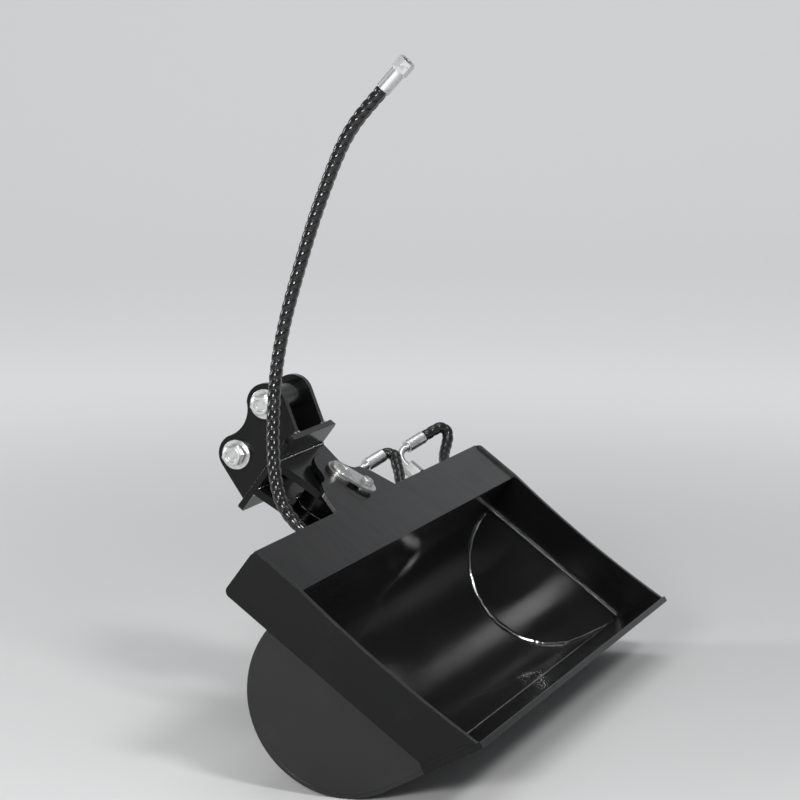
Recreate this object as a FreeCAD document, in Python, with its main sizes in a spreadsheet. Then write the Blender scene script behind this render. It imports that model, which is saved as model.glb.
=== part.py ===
import FreeCAD, Part
import math
import os

import Sketcher

# A tilt bucket for a small excavator, hung by its front coupler pin as it is carried.
# The design axes are: X along the cutting edge, Y along the tilt pin from the opening to the
# back, Z up the opening from the lip. The tilt pin is at X = 0. Millimetres.

doc = FreeCAD.newDocument("TiltBucket")
sheet = doc.addObject("Spreadsheet::Sheet", "Sizes")

driving = {
    # bucket shell and lip
    "bucket_width": 1000,
    "tilt_offset": 40,
    "opening_height": 430,
    "floor_angle": 25,
    "channel_depth": 82,
    "roll_centre": 88,
    "shell_wall": 6,
    "lip_depth": 98,
    "lip_wall": 16,
    "lip_bevel": 22,
    "lip_nose": 3,
    "blade_wall": 8,
    "blade_depth": 80,
    "blade_dish": 6.6,
    "blade_corner": 10,
    "end_wall": 6,
    "end_lap": 6,
    # front plate and its hump
    "front_wall": 8,
    "front_recess": 4,
    "hump_foot": 127,
    "hump_side": 103,
    "hump_side_drop": 19,
    "hump_shoulder": 80,
    "hump_notch": 32,
    "hump_shoulder_slope": 0.8,
    "hump_corner": 14,
    "ear_radius": 48,
    "ear_start": 20,
    # tilt pivot
    "pivot_rise": 58,
    "tilt_pin_bore": 35,
    "tilt_pin_end": 9,
    "tilt_pin_chamfer": 2,
    "hub_radius": 30,
    "bush_wall": 5,
    "bush_length": 28,
    "washer_rim": 14,
    "running_gap": 0.3,
    "side_gap": 7,
    "flag_wall": 5,
    "flag_width": 41,
    "flag_reach": 42,
    "flag_lean": 27,
    "flag_stand": 5,
    "flag_bolt_reach": 44,
    "flag_bolt": 12,
    "flag_bolt_flats": 18,
    "flag_bolt_head": 8,
    "flag_pad_rim": 7,
    # headstock
    "flange_half": 95,
    "flange_front": 24,
    "flange_back": 123,
    "flange_rise": 72,
    "flange_wall": 10,
    "flange_corner": 10,
    "cheek_wall": 12,
    "cheek_gap": 44,
    "cheek_knee": 82,
    "cheek_knee_drop": 43,
    "cheek_waist": 74,
    "cheek_waist_drop": 82,
    "cheek_lobe": 28,
    "cheek_lobe_angle": 25,
    "rear_plate_wall": 10,
    "rear_plate_half": 118,
    "rear_plate_foot": 73,
    "rear_ear_radius": 44,
    "rear_ear_start": 15,
    "ear_wall": 12,
    "ear_gap": 96,
    "pin_bore": 30,
    "front_pin_back": 28.5,
    "front_pin_rise": 67.5,
    "rear_pin_along": 67,
    "rear_pin_rise": 57,
    "lobe_radius": 32,
    "lobe_back_angle": 20,
    "lobe_top_angle": 115,
    "lobe_valley_angle": 55,
    "lobe_front_angle": 212,
    "valley_radius": 47,
    "ear_foot_back": 121,
    "ear_foot_front": 24,
    "pin_washer_radius": 23.5,
    "pin_washer_wall": 6,
    "pin_bolt": 16,
    "pin_bolt_flats": 24,
    "pin_bolt_head": 10,
    "lock_washer_wall": 5,
    "lock_washer_rim": 5.5,
    "head_chamfer": 2,
    "head_dish": 6.5,
    "head_dish_depth": 1,
    "pin_bolt_grip": 26,
    "sleeve_wall": 7,
    "sleeve_gap": 0.5,
    "sleeve_collar": 36,
    # tilt cylinder
    "crank_radius": 76,
    "cylinder_shift": 4,
    "crank_pin": 22,
    "crank_pin_proud": 2,
    "slot_rise": 18,
    "slot_gap": 2,
    "eye_wall": 10,
    "eye_side_gap": 6,
    "rod_bore": 25,
    "rod_start": 27,
    "rod_socket": 20,
    "rod_socket_wall": 4,
    "gland_collar": 20,
    "gland_rim": 2,
    "gland_spigot": 9,
    "wiper_wall": 4,
    "barrel_bore": 40,
    "barrel_wall": 7,
    "barrel_length": 234,
    "cap_wall": 12,
    "cap_spigot": 8,
    "piston_reach": 94,
    "piston_length": 24,
    "piston_gap": 0.4,
    "seal_width": 6,
    "seal_depth": 3,
    "seal_gap": 0.15,
    "rod_thread": 18,
    "piston_nut_flats": 27,
    "piston_nut_height": 10,
    "base_pin_inset": 108,
    "cap_reach": 40,
    "base_pin": 25,
    "base_pin_head": 5,
    "base_pin_rim": 6,
    "lug_wall": 10,
    "lug_radius": 22,
    "lug_foot": 40,
    "lug_gap": 1,
    "cap_neck": 0.8,
    # ports and fittings
    "rod_port_inset": 18,
    "base_port_inset": 20,
    "port_bore": 9,
    "port_boss": 26,
    "port_boss_height": 12,
    "port_nut_flats": 24,
    "port_nut_height": 24,
    "elbow_tube": 12,
    "elbow_radius": 22,
    "elbow_rise": 29,
    "elbow_turn": 33,
    "elbow_droop": 9,
    "elbow_tail": 5,
    "ferrule_length": 38,
    "ferrule_wall": 2.5,
    "hose_diameter": 17,
    "hose_exit_run": 8,
    "top_nut_flats": 24,
    "top_nut_length": 20,
    "top_nut_thread": 15,
    "top_nut_depth": 14,
    "gusset_inset": 60,
    "gusset_wall": 8,
    "gusset_depth": 58,
    "gusset_height": 62,
    "nipple_radius": 4,
    "nipple_length": 14,
    # attitude
    "carry_angle": 53.4,
}

for row, (alias, number) in enumerate(driving.items(), start=1):
    sheet.set(f"A{row}", alias)
    sheet.set(f"B{row}", str(number))
    sheet.setAlias(f"B{row}", alias)
doc.recompute()


class Size:
    """A length worked out from the sheet, kept as a number and as the expression for it."""

    def __init__(self, number, text):
        self.number = number
        self.text = text

    def __add__(self, other):
        other = size(other)
        return Size(self.number + other.number, f"({self.text} + {other.text})")

    def __radd__(self, other):
        return size(other) + self

    def __sub__(self, other):
        other = size(other)
        return Size(self.number - other.number, f"({self.text} - {other.text})")

    def __rsub__(self, other):
        return size(other) - self

    def __mul__(self, other):
        other = size(other)
        return Size(self.number * other.number, f"({self.text} * {other.text})")

    def __rmul__(self, other):
        return size(other) * self

    def __truediv__(self, other):
        other = size(other)
        return Size(self.number / other.number, f"({self.text} / {other.text})")

    def __neg__(self):
        return Size(-self.number, f"(-{self.text})")


def size(thing):
    if isinstance(thing, Size):
        return thing
    return Size(float(thing), f"{float(thing):g}")


def sine(angle):
    angle = size(angle)
    return Size(math.sin(math.radians(angle.number)), f"sin({angle.text})")


def cosine(angle):
    angle = size(angle)
    return Size(math.cos(math.radians(angle.number)), f"cos({angle.text})")


class Sheet:
    """Gives every cell of the sheet as a Size, by its alias."""

    def __getattr__(self, alias):
        return Size(float(sheet.get(alias)), f"Sizes.{alias}")


s = Sheet()
vector = FreeCAD.Vector
sub_parts = []

# Heights that stand on one another, upwards from the top edge of the front plate.
pivot_height = s.opening_height + s.pivot_rise
flange_height = pivot_height + s.flange_rise
flange_top = flange_height + s.flange_wall
front_pin_height = flange_top + s.front_pin_rise
rear_pin_height = flange_top + s.rear_pin_rise


def bind(thing, **sizes):
    """Set properties of a feature and tie them to the sheet."""
    for name, length in sizes.items():
        thing.setExpression(name, size(length).text)


def put(thing, x=0, y=0, z=0, turn=None):
    """Place a feature with its base point tied to the sheet."""
    thing.Placement = FreeCAD.Placement(vector(), turn or FreeCAD.Rotation())
    for axis, length in (("x", x), ("y", y), ("z", z)):
        thing.setExpression(f"Placement.Base.{axis}", size(length).text)
    return thing


# Every sub-part is drawn in the design axes and then swung to the carried attitude,
# with the front coupler pin's middle at the origin.
tilt_axis = FreeCAD.Rotation(vector(1, 0, 0), -float(sheet.get("carry_angle")))
origin_along = cosine(s.carry_angle) * -s.front_pin_back + sine(s.carry_angle) * front_pin_height
origin_up = cosine(s.carry_angle) * front_pin_height - sine(s.carry_angle) * -s.front_pin_back


def carry(thing, label):
    """Name a sub-part and give it the carried attitude."""
    thing.Label = label
    thing.Placement = FreeCAD.Placement(vector(), tilt_axis)
    if thing.TypeId == "Part::Feature":
        thing.Placement = FreeCAD.Placement(vector(0, -origin_along.number, -origin_up.number), tilt_axis)
    else:
        thing.setExpression("Placement.Rotation.Angle", "Sizes.carry_angle")
        thing.Placement.Rotation.Axis = vector(-1, 0, 0)
        thing.setExpression("Placement.Base.y", (-origin_along).text)
        thing.setExpression("Placement.Base.z", (-origin_up).text)
    sub_parts.append(thing)
    return thing


def corner_points(corners):
    return [(size(c[0]), size(c[1])) for c in corners]


def arc_between(start, end, radius):
    """The shorter arc between two points: a positive radius turns left, a negative one right."""
    across = end.sub(start)
    chord = across.Length
    rise = math.sqrt(max(radius * radius - chord * chord / 4, 0))
    left = vector(-across.y, across.x, 0).multiply(1 / chord)
    centre = start.add(end).multiply(0.5).add(left.multiply(rise if radius > 0 else -rise))
    circle = Part.Circle(centre, vector(0, 0, 1), abs(radius))
    first = math.atan2(start.y - centre.y, start.x - centre.x)
    last = math.atan2(end.y - centre.y, end.x - centre.x)
    if radius > 0:
        return Part.ArcOfCircle(circle, first, last)
    return Part.ArcOfCircle(circle, last, first)


def draw_loop(sketch, corners):
    """Draw a closed outline. A corner's third value is the radius of the side after it."""
    points = corner_points(corners)
    flat = [vector(a.number, b.number, 0) for a, b in points]
    ends = []
    for i, corner in enumerate(corners):
        after = (i + 1) % len(corners)
        if len(corner) > 2:
            radius = size(corner[2])
            side = sketch.addGeometry(arc_between(flat[i], flat[after], radius.number), False)
            ends.append((side, 1, 2) if radius.number > 0 else (side, 2, 1))
            size_of = Sketcher.Constraint("Radius", side, abs(radius.number))
            index = sketch.addConstraint(size_of)
            text = radius.text if radius.number > 0 else (-radius).text
            sketch.setExpression(f"Constraints[{index}]", text)
        else:
            side = sketch.addGeometry(Part.LineSegment(flat[i], flat[after]), False)
            ends.append((side, 1, 2))
    for i, (side, first, last) in enumerate(ends):
        following = ends[(i + 1) % len(ends)]
        sketch.addConstraint(Sketcher.Constraint("Coincident", side, last, following[0], following[1]))
        for kind, length in (("DistanceX", points[i][0]), ("DistanceY", points[i][1])):
            index = sketch.addConstraint(Sketcher.Constraint(kind, -1, 1, side, first, length.number))
            sketch.setExpression(f"Constraints[{index}]", length.text)


def draw_circle(sketch, across, up, radius):
    across, up, radius = size(across), size(up), size(radius)
    circle = Part.Circle(vector(across.number, up.number, 0), vector(0, 0, 1), radius.number)
    ring = sketch.addGeometry(circle, False)
    for kind, length in (("DistanceX", across), ("DistanceY", up)):
        index = sketch.addConstraint(Sketcher.Constraint(kind, -1, 1, ring, 3, length.number))
        sketch.setExpression(f"Constraints[{index}]", length.text)
    index = sketch.addConstraint(Sketcher.Constraint("Radius", ring, radius.number))
    sketch.setExpression(f"Constraints[{index}]", radius.text)


def plate(name, plane, start, thickness, loops=(), circles=()):
    """A body padded from one sketch: from start along +X, +Y or +Z by its thickness."""
    body = doc.addObject("PartDesign::Body", name)
    sketch = body.newObject("Sketcher::SketchObject", name + "_outline")
    planes = {item.Role: item for item in body.Origin.OriginFeatures}
    sketch.AttachmentSupport = [(planes[plane + "_Plane"], "")]
    sketch.MapMode = "FlatFace"
    offset = -size(start) if plane == "XZ" else size(start)
    sketch.setExpression("AttachmentOffset.Base.z", offset.text)
    for corners in loops:
        draw_loop(sketch, corners)
    for across, up, radius in circles:
        draw_circle(sketch, across, up, radius)
    pad = body.newObject("PartDesign::Pad", name + "_pad")
    pad.Profile = sketch
    pad.Reversed = plane == "XZ"
    pad.setExpression("Length", size(thickness).text)
    return body


def round_corners(body, plane, corners, radius):
    """Fillet the upright edges of a plate that stand on the given sketch corners."""
    doc.recompute()
    pad = body.Tip
    axes = {"XY": (0, 1), "XZ": (0, 2), "YZ": (1, 2)}[plane]
    wanted = [(size(a).number, size(b).number) for a, b in corners]
    names = []
    for number, edge in enumerate(pad.Shape.Edges, start=1):
        ends = [vertex.Point for vertex in edge.Vertexes]
        if len(ends) != 2:
            continue
        flats = [(end[axes[0]], end[axes[1]]) for end in ends]
        if math.dist(flats[0], flats[1]) > 1e-6:
            continue
        if any(math.dist(flats[0], spot) < 1e-4 for spot in wanted):
            names.append(f"Edge{number}")
    fillet = body.newObject("PartDesign::Fillet", body.Name + "_fillet")
    fillet.Base = (pad, names)
    fillet.setExpression("Radius", size(radius).text)
    return body


turns = {
    "X": FreeCAD.Rotation(vector(0, 1, 0), 90),
    "-X": FreeCAD.Rotation(vector(0, 1, 0), -90),
    "Y": FreeCAD.Rotation(vector(1, 0, 0), -90),
    "-Y": FreeCAD.Rotation(vector(1, 0, 0), 90),
    "Z": FreeCAD.Rotation(),
}


def bar(name, along, radius, length, x=0, y=0, z=0):
    """A round bar that starts at a point and runs along an axis."""
    thing = doc.addObject("Part::Cylinder", name)
    bind(thing, Radius=radius, Height=length)
    return put(thing, x, y, z, turns[along])


def hexagon(name, along, flats, height, x=0, y=0, z=0):
    """A six-sided bar with the given size across its flats."""
    thing = doc.addObject("Part::Prism", name)
    thing.Polygon = 6
    bind(thing, Circumradius=size(flats) / 2 / cosine(30), Height=height)
    return put(thing, x, y, z, turns[along])


def bolt_head(name, along, flats, height, x=0, y=0, z=0):
    """A hexagon head with its outer corners turned off and a shallow dish in its face."""
    reach = size(flats) / 2 / cosine(30)
    out = {"X": (1, 0, 0), "-X": (-1, 0, 0), "-Y": (0, -1, 0)}[along]
    low = height - s.head_chamfer
    rim = bar(name + "_rim", along, reach, low, x, y, z)
    cone = doc.addObject("Part::Cone", name + "_crown")
    bind(cone, Radius1=reach, Radius2=size(flats) / 2 - s.head_chamfer / 2, Height=s.head_chamfer)
    put(cone, x + out[0] * low, y + out[1] * low, z, turns[along])
    turned = doc.addObject("Part::MultiCommon", name + "_turned")
    turned.Shapes = [hexagon(name + "_hex", along, flats, height, x, y, z), fuse(name + "_blank", rim, cone)]
    floor = height - s.head_dish_depth
    dish = bar(name + "_dish", along, s.head_dish, s.head_dish_depth, x + out[0] * floor, y + out[1] * floor, z)
    return cut(name, turned, dish)


def block(name, length, width, height, x, y, z):
    thing = doc.addObject("Part::Box", name)
    bind(thing, Length=length, Width=width, Height=height)
    return put(thing, x, y, z)


def cut(name, base, tool):
    thing = doc.addObject("Part::Cut", name)
    thing.Base = base
    thing.Tool = tool
    return thing


def fuse(name, *pieces):
    thing = doc.addObject("Part::MultiFuse", name)
    thing.Shapes = list(pieces)
    return thing


def group(name, *pieces):
    thing = doc.addObject("Part::Compound", name)
    thing.Links = list(pieces)
    return thing


# Places that several pieces share.
left_end = s.tilt_offset - s.bucket_width / 2
right_end = s.tilt_offset + s.bucket_width / 2
shell_top = s.opening_height - s.channel_depth
floor_rise = s.roll_centre * sine(s.floor_angle)
roll_radius = (shell_top * cosine(s.floor_angle) - floor_rise) / (cosine(s.floor_angle) + 1)
roll_height = shell_top - roll_radius
plate_back = s.front_recess + s.front_wall
front_cheek = plate_back + s.side_gap
rear_cheek = front_cheek + s.cheek_wall + s.cheek_gap
rear_plate = rear_cheek + s.cheek_wall + s.side_gap
crank_height = pivot_height - s.crank_radius
base_pin_along = right_end - s.base_pin_inset
barrel_end = base_pin_along - s.cap_reach
barrel_along = barrel_end - s.barrel_length
gland_start = barrel_along - s.gland_collar
piston_start = barrel_along + s.piston_reach
rod_port = barrel_along + s.rod_port_inset
base_port = barrel_end - s.base_port_inset
barrel_radius = s.barrel_bore / 2 + s.barrel_wall
cylinder_back = front_cheek + s.cheek_wall + s.cheek_gap / 2 + s.cylinder_shift
ear_outer = s.ear_gap / 2 + s.ear_wall
boss_top = crank_height + barrel_radius + s.port_boss_height
tilt_pin_radius = s.tilt_pin_bore / 2
pin_radius = s.pin_bore / 2
front_pin_spot = (-s.front_pin_back, front_pin_height)
rear_pin_spot = (s.rear_pin_along, rear_pin_height)


def on_floor(along, rise):
    """A point at a distance along the sloping floor from the lip and at a height above it."""
    across = cosine(s.floor_angle) * along - sine(s.floor_angle) * rise
    up = sine(s.floor_angle) * along + cosine(s.floor_angle) * rise
    return across, up


def on_circle(centre, radius, angle):
    return centre[0] + radius * cosine(angle), centre[1] + radius * sine(angle)


def bucket_shell():
    inner = roll_radius - s.shell_wall
    centre = (s.roll_centre, roll_height)
    outer_foot = on_circle(centre, roll_radius, s.floor_angle - 90)
    inner_foot = on_circle(centre, inner, s.floor_angle - 90)
    outline = [
        on_floor(s.lip_depth, 0),
        (*outer_foot, roll_radius),
        (s.roll_centre, shell_top),
        (plate_back, shell_top),
        (plate_back, shell_top - s.shell_wall),
        (s.roll_centre, shell_top - s.shell_wall, -inner),
        inner_foot,
        on_floor(s.lip_depth, s.shell_wall),
    ]
    start = left_end + s.blade_wall
    carry(plate("bucket_shell_body", "YZ", start, s.bucket_width - 2 * s.blade_wall, [outline]), "bucket_shell")


def cutting_edge():
    outline = [
        on_floor(0, 0),
        on_floor(s.lip_depth, 0),
        on_floor(s.lip_depth, s.lip_wall),
        on_floor(s.lip_bevel, s.lip_wall),
        on_floor(0, s.lip_nose),
    ]
    carry(plate("cutting_edge_body", "YZ", left_end, s.bucket_width, [outline]), "cutting_edge")


def end_plates():
    inner = roll_radius - s.shell_wall
    front = s.blade_depth - s.end_lap
    outline = [
        (front, (s.lip_wall + front * sine(s.floor_angle)) / cosine(s.floor_angle)),
        on_floor(s.lip_depth, s.lip_wall),
        on_floor(s.lip_depth, s.shell_wall),
        (*on_circle((s.roll_centre, roll_height), inner, s.floor_angle - 90), inner),
        (s.roll_centre, shell_top - s.shell_wall),
        (front, shell_top - s.shell_wall),
    ]
    starts = {"left": left_end + s.blade_wall, "right": right_end - s.blade_wall - s.end_wall}
    for side, start in starts.items():
        carry(plate(side + "_end_body", "YZ", start, s.end_wall, [outline]), side + "_end_plate")


def side_blades():
    bevel_foot = on_floor(0, s.lip_nose)
    bevel_top = on_floor(s.lip_bevel, s.lip_wall)
    rise = (bevel_top[1] - bevel_foot[1]) / (bevel_top[0] - bevel_foot[0])
    foot = bevel_foot[1] - bevel_foot[0] * rise
    dish_top = shell_top - s.shell_wall
    chord = dish_top - foot
    dish_radius = chord * chord / (8 * s.blade_dish) + s.blade_dish / 2
    front_top = (0, s.opening_height)
    back_top = (s.blade_depth, s.opening_height)
    outline = [
        front_top,
        (0, dish_top, -dish_radius),
        (0, foot),
        bevel_top,
        (s.blade_depth, (s.lip_wall + s.blade_depth * sine(s.floor_angle)) / cosine(s.floor_angle)),
        back_top,
    ]
    for side, start in {"left": left_end, "right": right_end - s.blade_wall}.items():
        blade = plate(side + "_blade_body", "YZ", start, s.blade_wall, [outline])
        round_corners(blade, "YZ", [front_top, back_top], s.blade_corner)
        carry(blade, side + "_side_blade")


def front_plate():
    pivot = (0, pivot_height)
    left = left_end + s.blade_wall
    right = right_end - s.blade_wall
    bottom = shell_top - s.shell_wall
    side_up = pivot_height - s.hump_side_drop
    shoulder = side_up + (s.hump_side - s.hump_shoulder) * s.hump_shoulder_slope
    right_shoulder = (s.hump_shoulder, shoulder)
    left_shoulder = (-s.hump_shoulder, shoulder)
    right_side = (s.hump_side, side_up)
    left_side = (-s.hump_side, side_up)
    outline = [
        (left, bottom),
        (right, bottom),
        (right, s.opening_height),
        (s.hump_foot, s.opening_height),
        right_side,
        (*right_shoulder, -s.hump_notch),
        (*on_circle(pivot, s.ear_radius, s.ear_start), s.ear_radius),
        (*on_circle(pivot, s.ear_radius, 180 - s.ear_start), -s.hump_notch),
        left_shoulder,
        left_side,
        (-s.hump_foot, s.opening_height),
        (left, s.opening_height),
    ]
    holes = [(0, pivot_height, tilt_pin_radius)]
    panel = plate("front_plate_body", "XZ", s.front_recess, s.front_wall, [outline], holes)
    round_corners(panel, "XZ", [right_side, left_side, right_shoulder, left_shoulder], s.hump_corner)
    carry(panel, "front_plate")


def rear_pivot_plate():
    pivot = (0, pivot_height)
    foot = roll_height + s.rear_plate_foot
    start_angle = s.rear_ear_start
    outline = [
        (-s.rear_plate_half, foot),
        (s.rear_plate_half, foot),
        (s.rear_plate_half, shell_top + s.shell_wall),
        (*on_circle(pivot, s.rear_ear_radius, start_angle), s.rear_ear_radius),
        on_circle(pivot, s.rear_ear_radius, 180 - start_angle),
        (-s.rear_plate_half, shell_top + s.shell_wall),
    ]
    holes = [(0, pivot_height, tilt_pin_radius)]
    blank = plate("rear_plate_blank", "XZ", rear_plate, s.rear_plate_wall, [outline], holes)
    roll = bar("rear_plate_roll", "X", roll_radius, 3 * s.rear_plate_half,
               -1.5 * s.rear_plate_half, s.roll_centre, roll_height)
    carry(cut("rear_plate_cut", blank, roll), "rear_pivot_plate")


def gussets():
    outline = [
        (plate_back, shell_top),
        (plate_back + s.gusset_depth, shell_top),
        (plate_back, shell_top + s.gusset_height),
    ]
    left = plate("gusset_left", "YZ", left_end + s.gusset_inset, s.gusset_wall, [outline])
    right = plate("gusset_right", "YZ", right_end - s.gusset_inset - s.gusset_wall, s.gusset_wall, [outline])
    carry(group("gusset_pair", left, right), "gussets")


def ring(name, along, outer, inner, length, x=0, y=0, z=0):
    """A round sleeve that starts at a point and runs along an axis."""
    return cut(name, bar(name + "_outer", along, outer, length, x, y, z),
               bar(name + "_inner", along, inner, length, x, y, z))


def tilt_pivot():
    height = pivot_height
    start = s.front_recess - s.flag_stand - s.flag_wall
    end = rear_plate + s.rear_plate_wall + s.tilt_pin_end
    pin = bar("tilt_pin_bar", "Y", tilt_pin_radius, end - start, 0, start, height)
    chamfer = doc.addObject("Part::Chamfer", "tilt_pin_chamfered")
    doc.recompute()
    chamfer.Base = pin
    bevel = float(sheet.get("tilt_pin_chamfer"))
    circles = [n for n, edge in enumerate(pin.Shape.Edges, start=1) if edge.isClosed()]
    far = [n for n in circles if pin.Shape.Edges[n - 1].Curve.Center.y > start.number + 1]
    chamfer.Edges = [(n, bevel, bevel) for n in far]
    carry(chamfer, "tilt_pin")

    washers = []
    rim = tilt_pin_radius + s.washer_rim
    thickness = s.side_gap - s.running_gap
    washers.append(ring("washer_front", "Y", rim, tilt_pin_radius, thickness, 0, plate_back, height))
    washers.append(ring("washer_rear", "Y", rim, tilt_pin_radius, thickness, 0,
                        rear_cheek + s.cheek_wall + s.running_gap, height))
    carry(group("washer_pair", *washers), "thrust_washers")

    bore = s.hub_radius - s.bush_wall
    hub_length = rear_cheek + s.cheek_wall - front_cheek
    carry(ring("hub_ring", "Y", s.hub_radius, bore, hub_length, 0, front_cheek, height), "hub_tube")
    bush_bore = tilt_pin_radius + s.running_gap
    front = ring("bush_front", "Y", bore, bush_bore, s.bush_length, 0, front_cheek, height)
    rear_start = rear_cheek + s.cheek_wall - s.bush_length
    rear = ring("bush_rear", "Y", bore, bush_bore, s.bush_length, 0, rear_start, height)
    carry(group("bush_pair", front, rear), "hub_bushes")


def pin_flag():
    half = s.flag_width / 2
    lean_x = sine(s.flag_lean)
    lean_z = -cosine(s.flag_lean)
    side_x = cosine(s.flag_lean)
    side_z = sine(s.flag_lean)
    top = (size(0), pivot_height)
    low = (lean_x * s.flag_reach, pivot_height + lean_z * s.flag_reach)

    def off(spot, down, side):
        return (spot[0] + lean_x * down + side_x * side, spot[1] + lean_z * down + side_z * side)

    outline = [
        (*off(top, 0, half), half),
        (*off(top, -half, 0), half),
        off(top, 0, -half),
        (*off(low, 0, -half), half),
        (*off(low, half, 0), half),
        off(low, 0, half),
    ]
    bolt = off(top, s.flag_bolt_reach, 0)
    back = s.front_recess - s.flag_stand
    start = back - s.flag_wall
    holes = [(0, pivot_height, tilt_pin_radius), (*bolt, s.flag_bolt / 2)]
    carry(plate("pin_flag_body", "XZ", start, s.flag_wall, [outline], holes), "pin_flag")

    pad_radius = s.flag_bolt / 2 + s.flag_pad_rim
    pad = ring("flag_pad_ring", "Y", pad_radius, s.flag_bolt / 2, s.flag_stand, bolt[0], back, bolt[1])
    collar = ring("flag_collar_ring", "Y", tilt_pin_radius + s.flag_pad_rim, tilt_pin_radius,
                  s.flag_stand, 0, back, pivot_height)
    carry(group("flag_pad_pair", pad, collar), "flag_pads")

    head = bolt_head("flag_bolt_head", "-Y", s.flag_bolt_flats, s.flag_bolt_head, bolt[0], start, bolt[1])
    shank = bar("flag_bolt_shank", "Y", s.flag_bolt / 2, s.flag_wall + s.flag_stand, bolt[0], start, bolt[1])
    carry(fuse("flag_bolt_whole", head, shank), "flag_bolt")


def headstock():
    half = s.flange_half
    corners = [(-half, -s.flange_front), (half, -s.flange_front), (half, s.flange_back), (-half, s.flange_back)]
    flange = plate("flange_body", "XY", flange_height, s.flange_wall, [corners])
    round_corners(flange, "XY", corners, s.flange_corner)
    carry(flange, "base_flange")

    knee = flange_height - s.cheek_knee_drop
    waist = flange_height - s.cheek_waist_drop
    lobe = (0, crank_height)
    outline = [
        (-half, flange_height),
        (-s.cheek_knee, knee),
        (-s.cheek_waist, waist),
        (*on_circle(lobe, s.cheek_lobe, 180 + s.cheek_lobe_angle), s.cheek_lobe),
        on_circle(lobe, s.cheek_lobe, -s.cheek_lobe_angle),
        (s.cheek_waist, waist),
        (s.cheek_knee, knee),
        (half, flange_height),
    ]
    holes = [(0, pivot_height, s.hub_radius), (0, crank_height, s.crank_pin / 2)]
    for side, start in {"front": front_cheek, "rear": rear_cheek}.items():
        cheek = plate(side + "_cheek_body", "XZ", start, s.cheek_wall, [outline], holes)
        carry(cheek, side + "_cheek")

    crank = bar("crank_pin_bar", "Y", s.crank_pin / 2,
                rear_cheek + s.cheek_wall - front_cheek + 2 * s.crank_pin_proud,
                0, front_cheek - s.crank_pin_proud, crank_height)
    carry(group("crank_pin_whole", crank), "crank_pin")


def coupler_ears():
    lobe = s.lobe_radius
    outline = [
        (-s.ear_foot_front, flange_top),
        (s.ear_foot_back, flange_top),
        (*on_circle(rear_pin_spot, lobe, s.lobe_back_angle), lobe),
        (*on_circle(rear_pin_spot, lobe, s.lobe_top_angle), -s.valley_radius),
        (*on_circle(front_pin_spot, lobe, s.lobe_valley_angle), lobe),
        on_circle(front_pin_spot, lobe, s.lobe_front_angle),
    ]
    holes = [(*front_pin_spot, pin_radius), (*rear_pin_spot, pin_radius)]
    for side, start in {"left": -ear_outer, "right": s.ear_gap / 2}.items():
        carry(plate(side + "_ear_body", "YZ", start, s.ear_wall, [outline], holes), side + "_ear")


def coupler_pins():
    bore = s.pin_bolt / 2
    washers = []
    locks = []
    bolts = []
    for side, (back, height) in {"front": front_pin_spot, "rear": rear_pin_spot}.items():
        whole = bar(side + "_pin_bar", "X", pin_radius, 2 * ear_outer, -ear_outer, back, height)
        left = bar(side + "_pin_left_tap", "X", bore, s.pin_bolt_grip, -ear_outer, back, height)
        right = bar(side + "_pin_right_tap", "-X", bore, s.pin_bolt_grip, ear_outer, back, height)
        carry(cut(side + "_pin_tapped", whole, fuse(side + "_pin_taps", left, right)), side + "_pin")
        for end, along, into in ((1, "X", "-X"), (-1, "-X", "X")):
            tag = f"{side}_{'right' if end > 0 else 'left'}"
            face = end * ear_outer
            outer = end * (ear_outer + s.pin_washer_wall)
            washers.append(ring(tag + "_washer", along, s.pin_washer_radius, bore,
                                s.pin_washer_wall, face, back, height))
            locks.append(ring(tag + "_lock", along, bore + s.lock_washer_rim, bore,
                              s.lock_washer_wall, outer, back, height))
            seat = outer + end * s.lock_washer_wall
            head = bolt_head(tag + "_head", along, s.pin_bolt_flats, s.pin_bolt_head, seat, back, height)
            shank = bar(tag + "_shank", into, bore, s.lock_washer_wall + s.pin_washer_wall + s.pin_bolt_grip,
                        seat, back, height)
            bolts.append(fuse(tag + "_bolt", head, shank))
    carry(group("pin_washer_set", *washers), "pin_washers")
    carry(group("lock_washer_set", *locks), "lock_washers")
    carry(group("pin_bolt_set", *bolts), "pin_end_bolts")
    rim = pin_radius + s.sleeve_wall
    collar_start = s.ear_gap / 2 - s.sleeve_gap - s.sleeve_collar
    sleeve_start = s.sleeve_gap - s.ear_gap / 2
    sleeve = ring("sleeve_ring", "X", rim, pin_radius, collar_start - s.sleeve_gap - sleeve_start,
                  sleeve_start, *front_pin_spot)
    collar = ring("collar_ring", "X", rim, pin_radius, s.sleeve_collar, collar_start, *front_pin_spot)
    carry(group("sleeve_pair", sleeve, collar), "spacer_sleeve")


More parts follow.
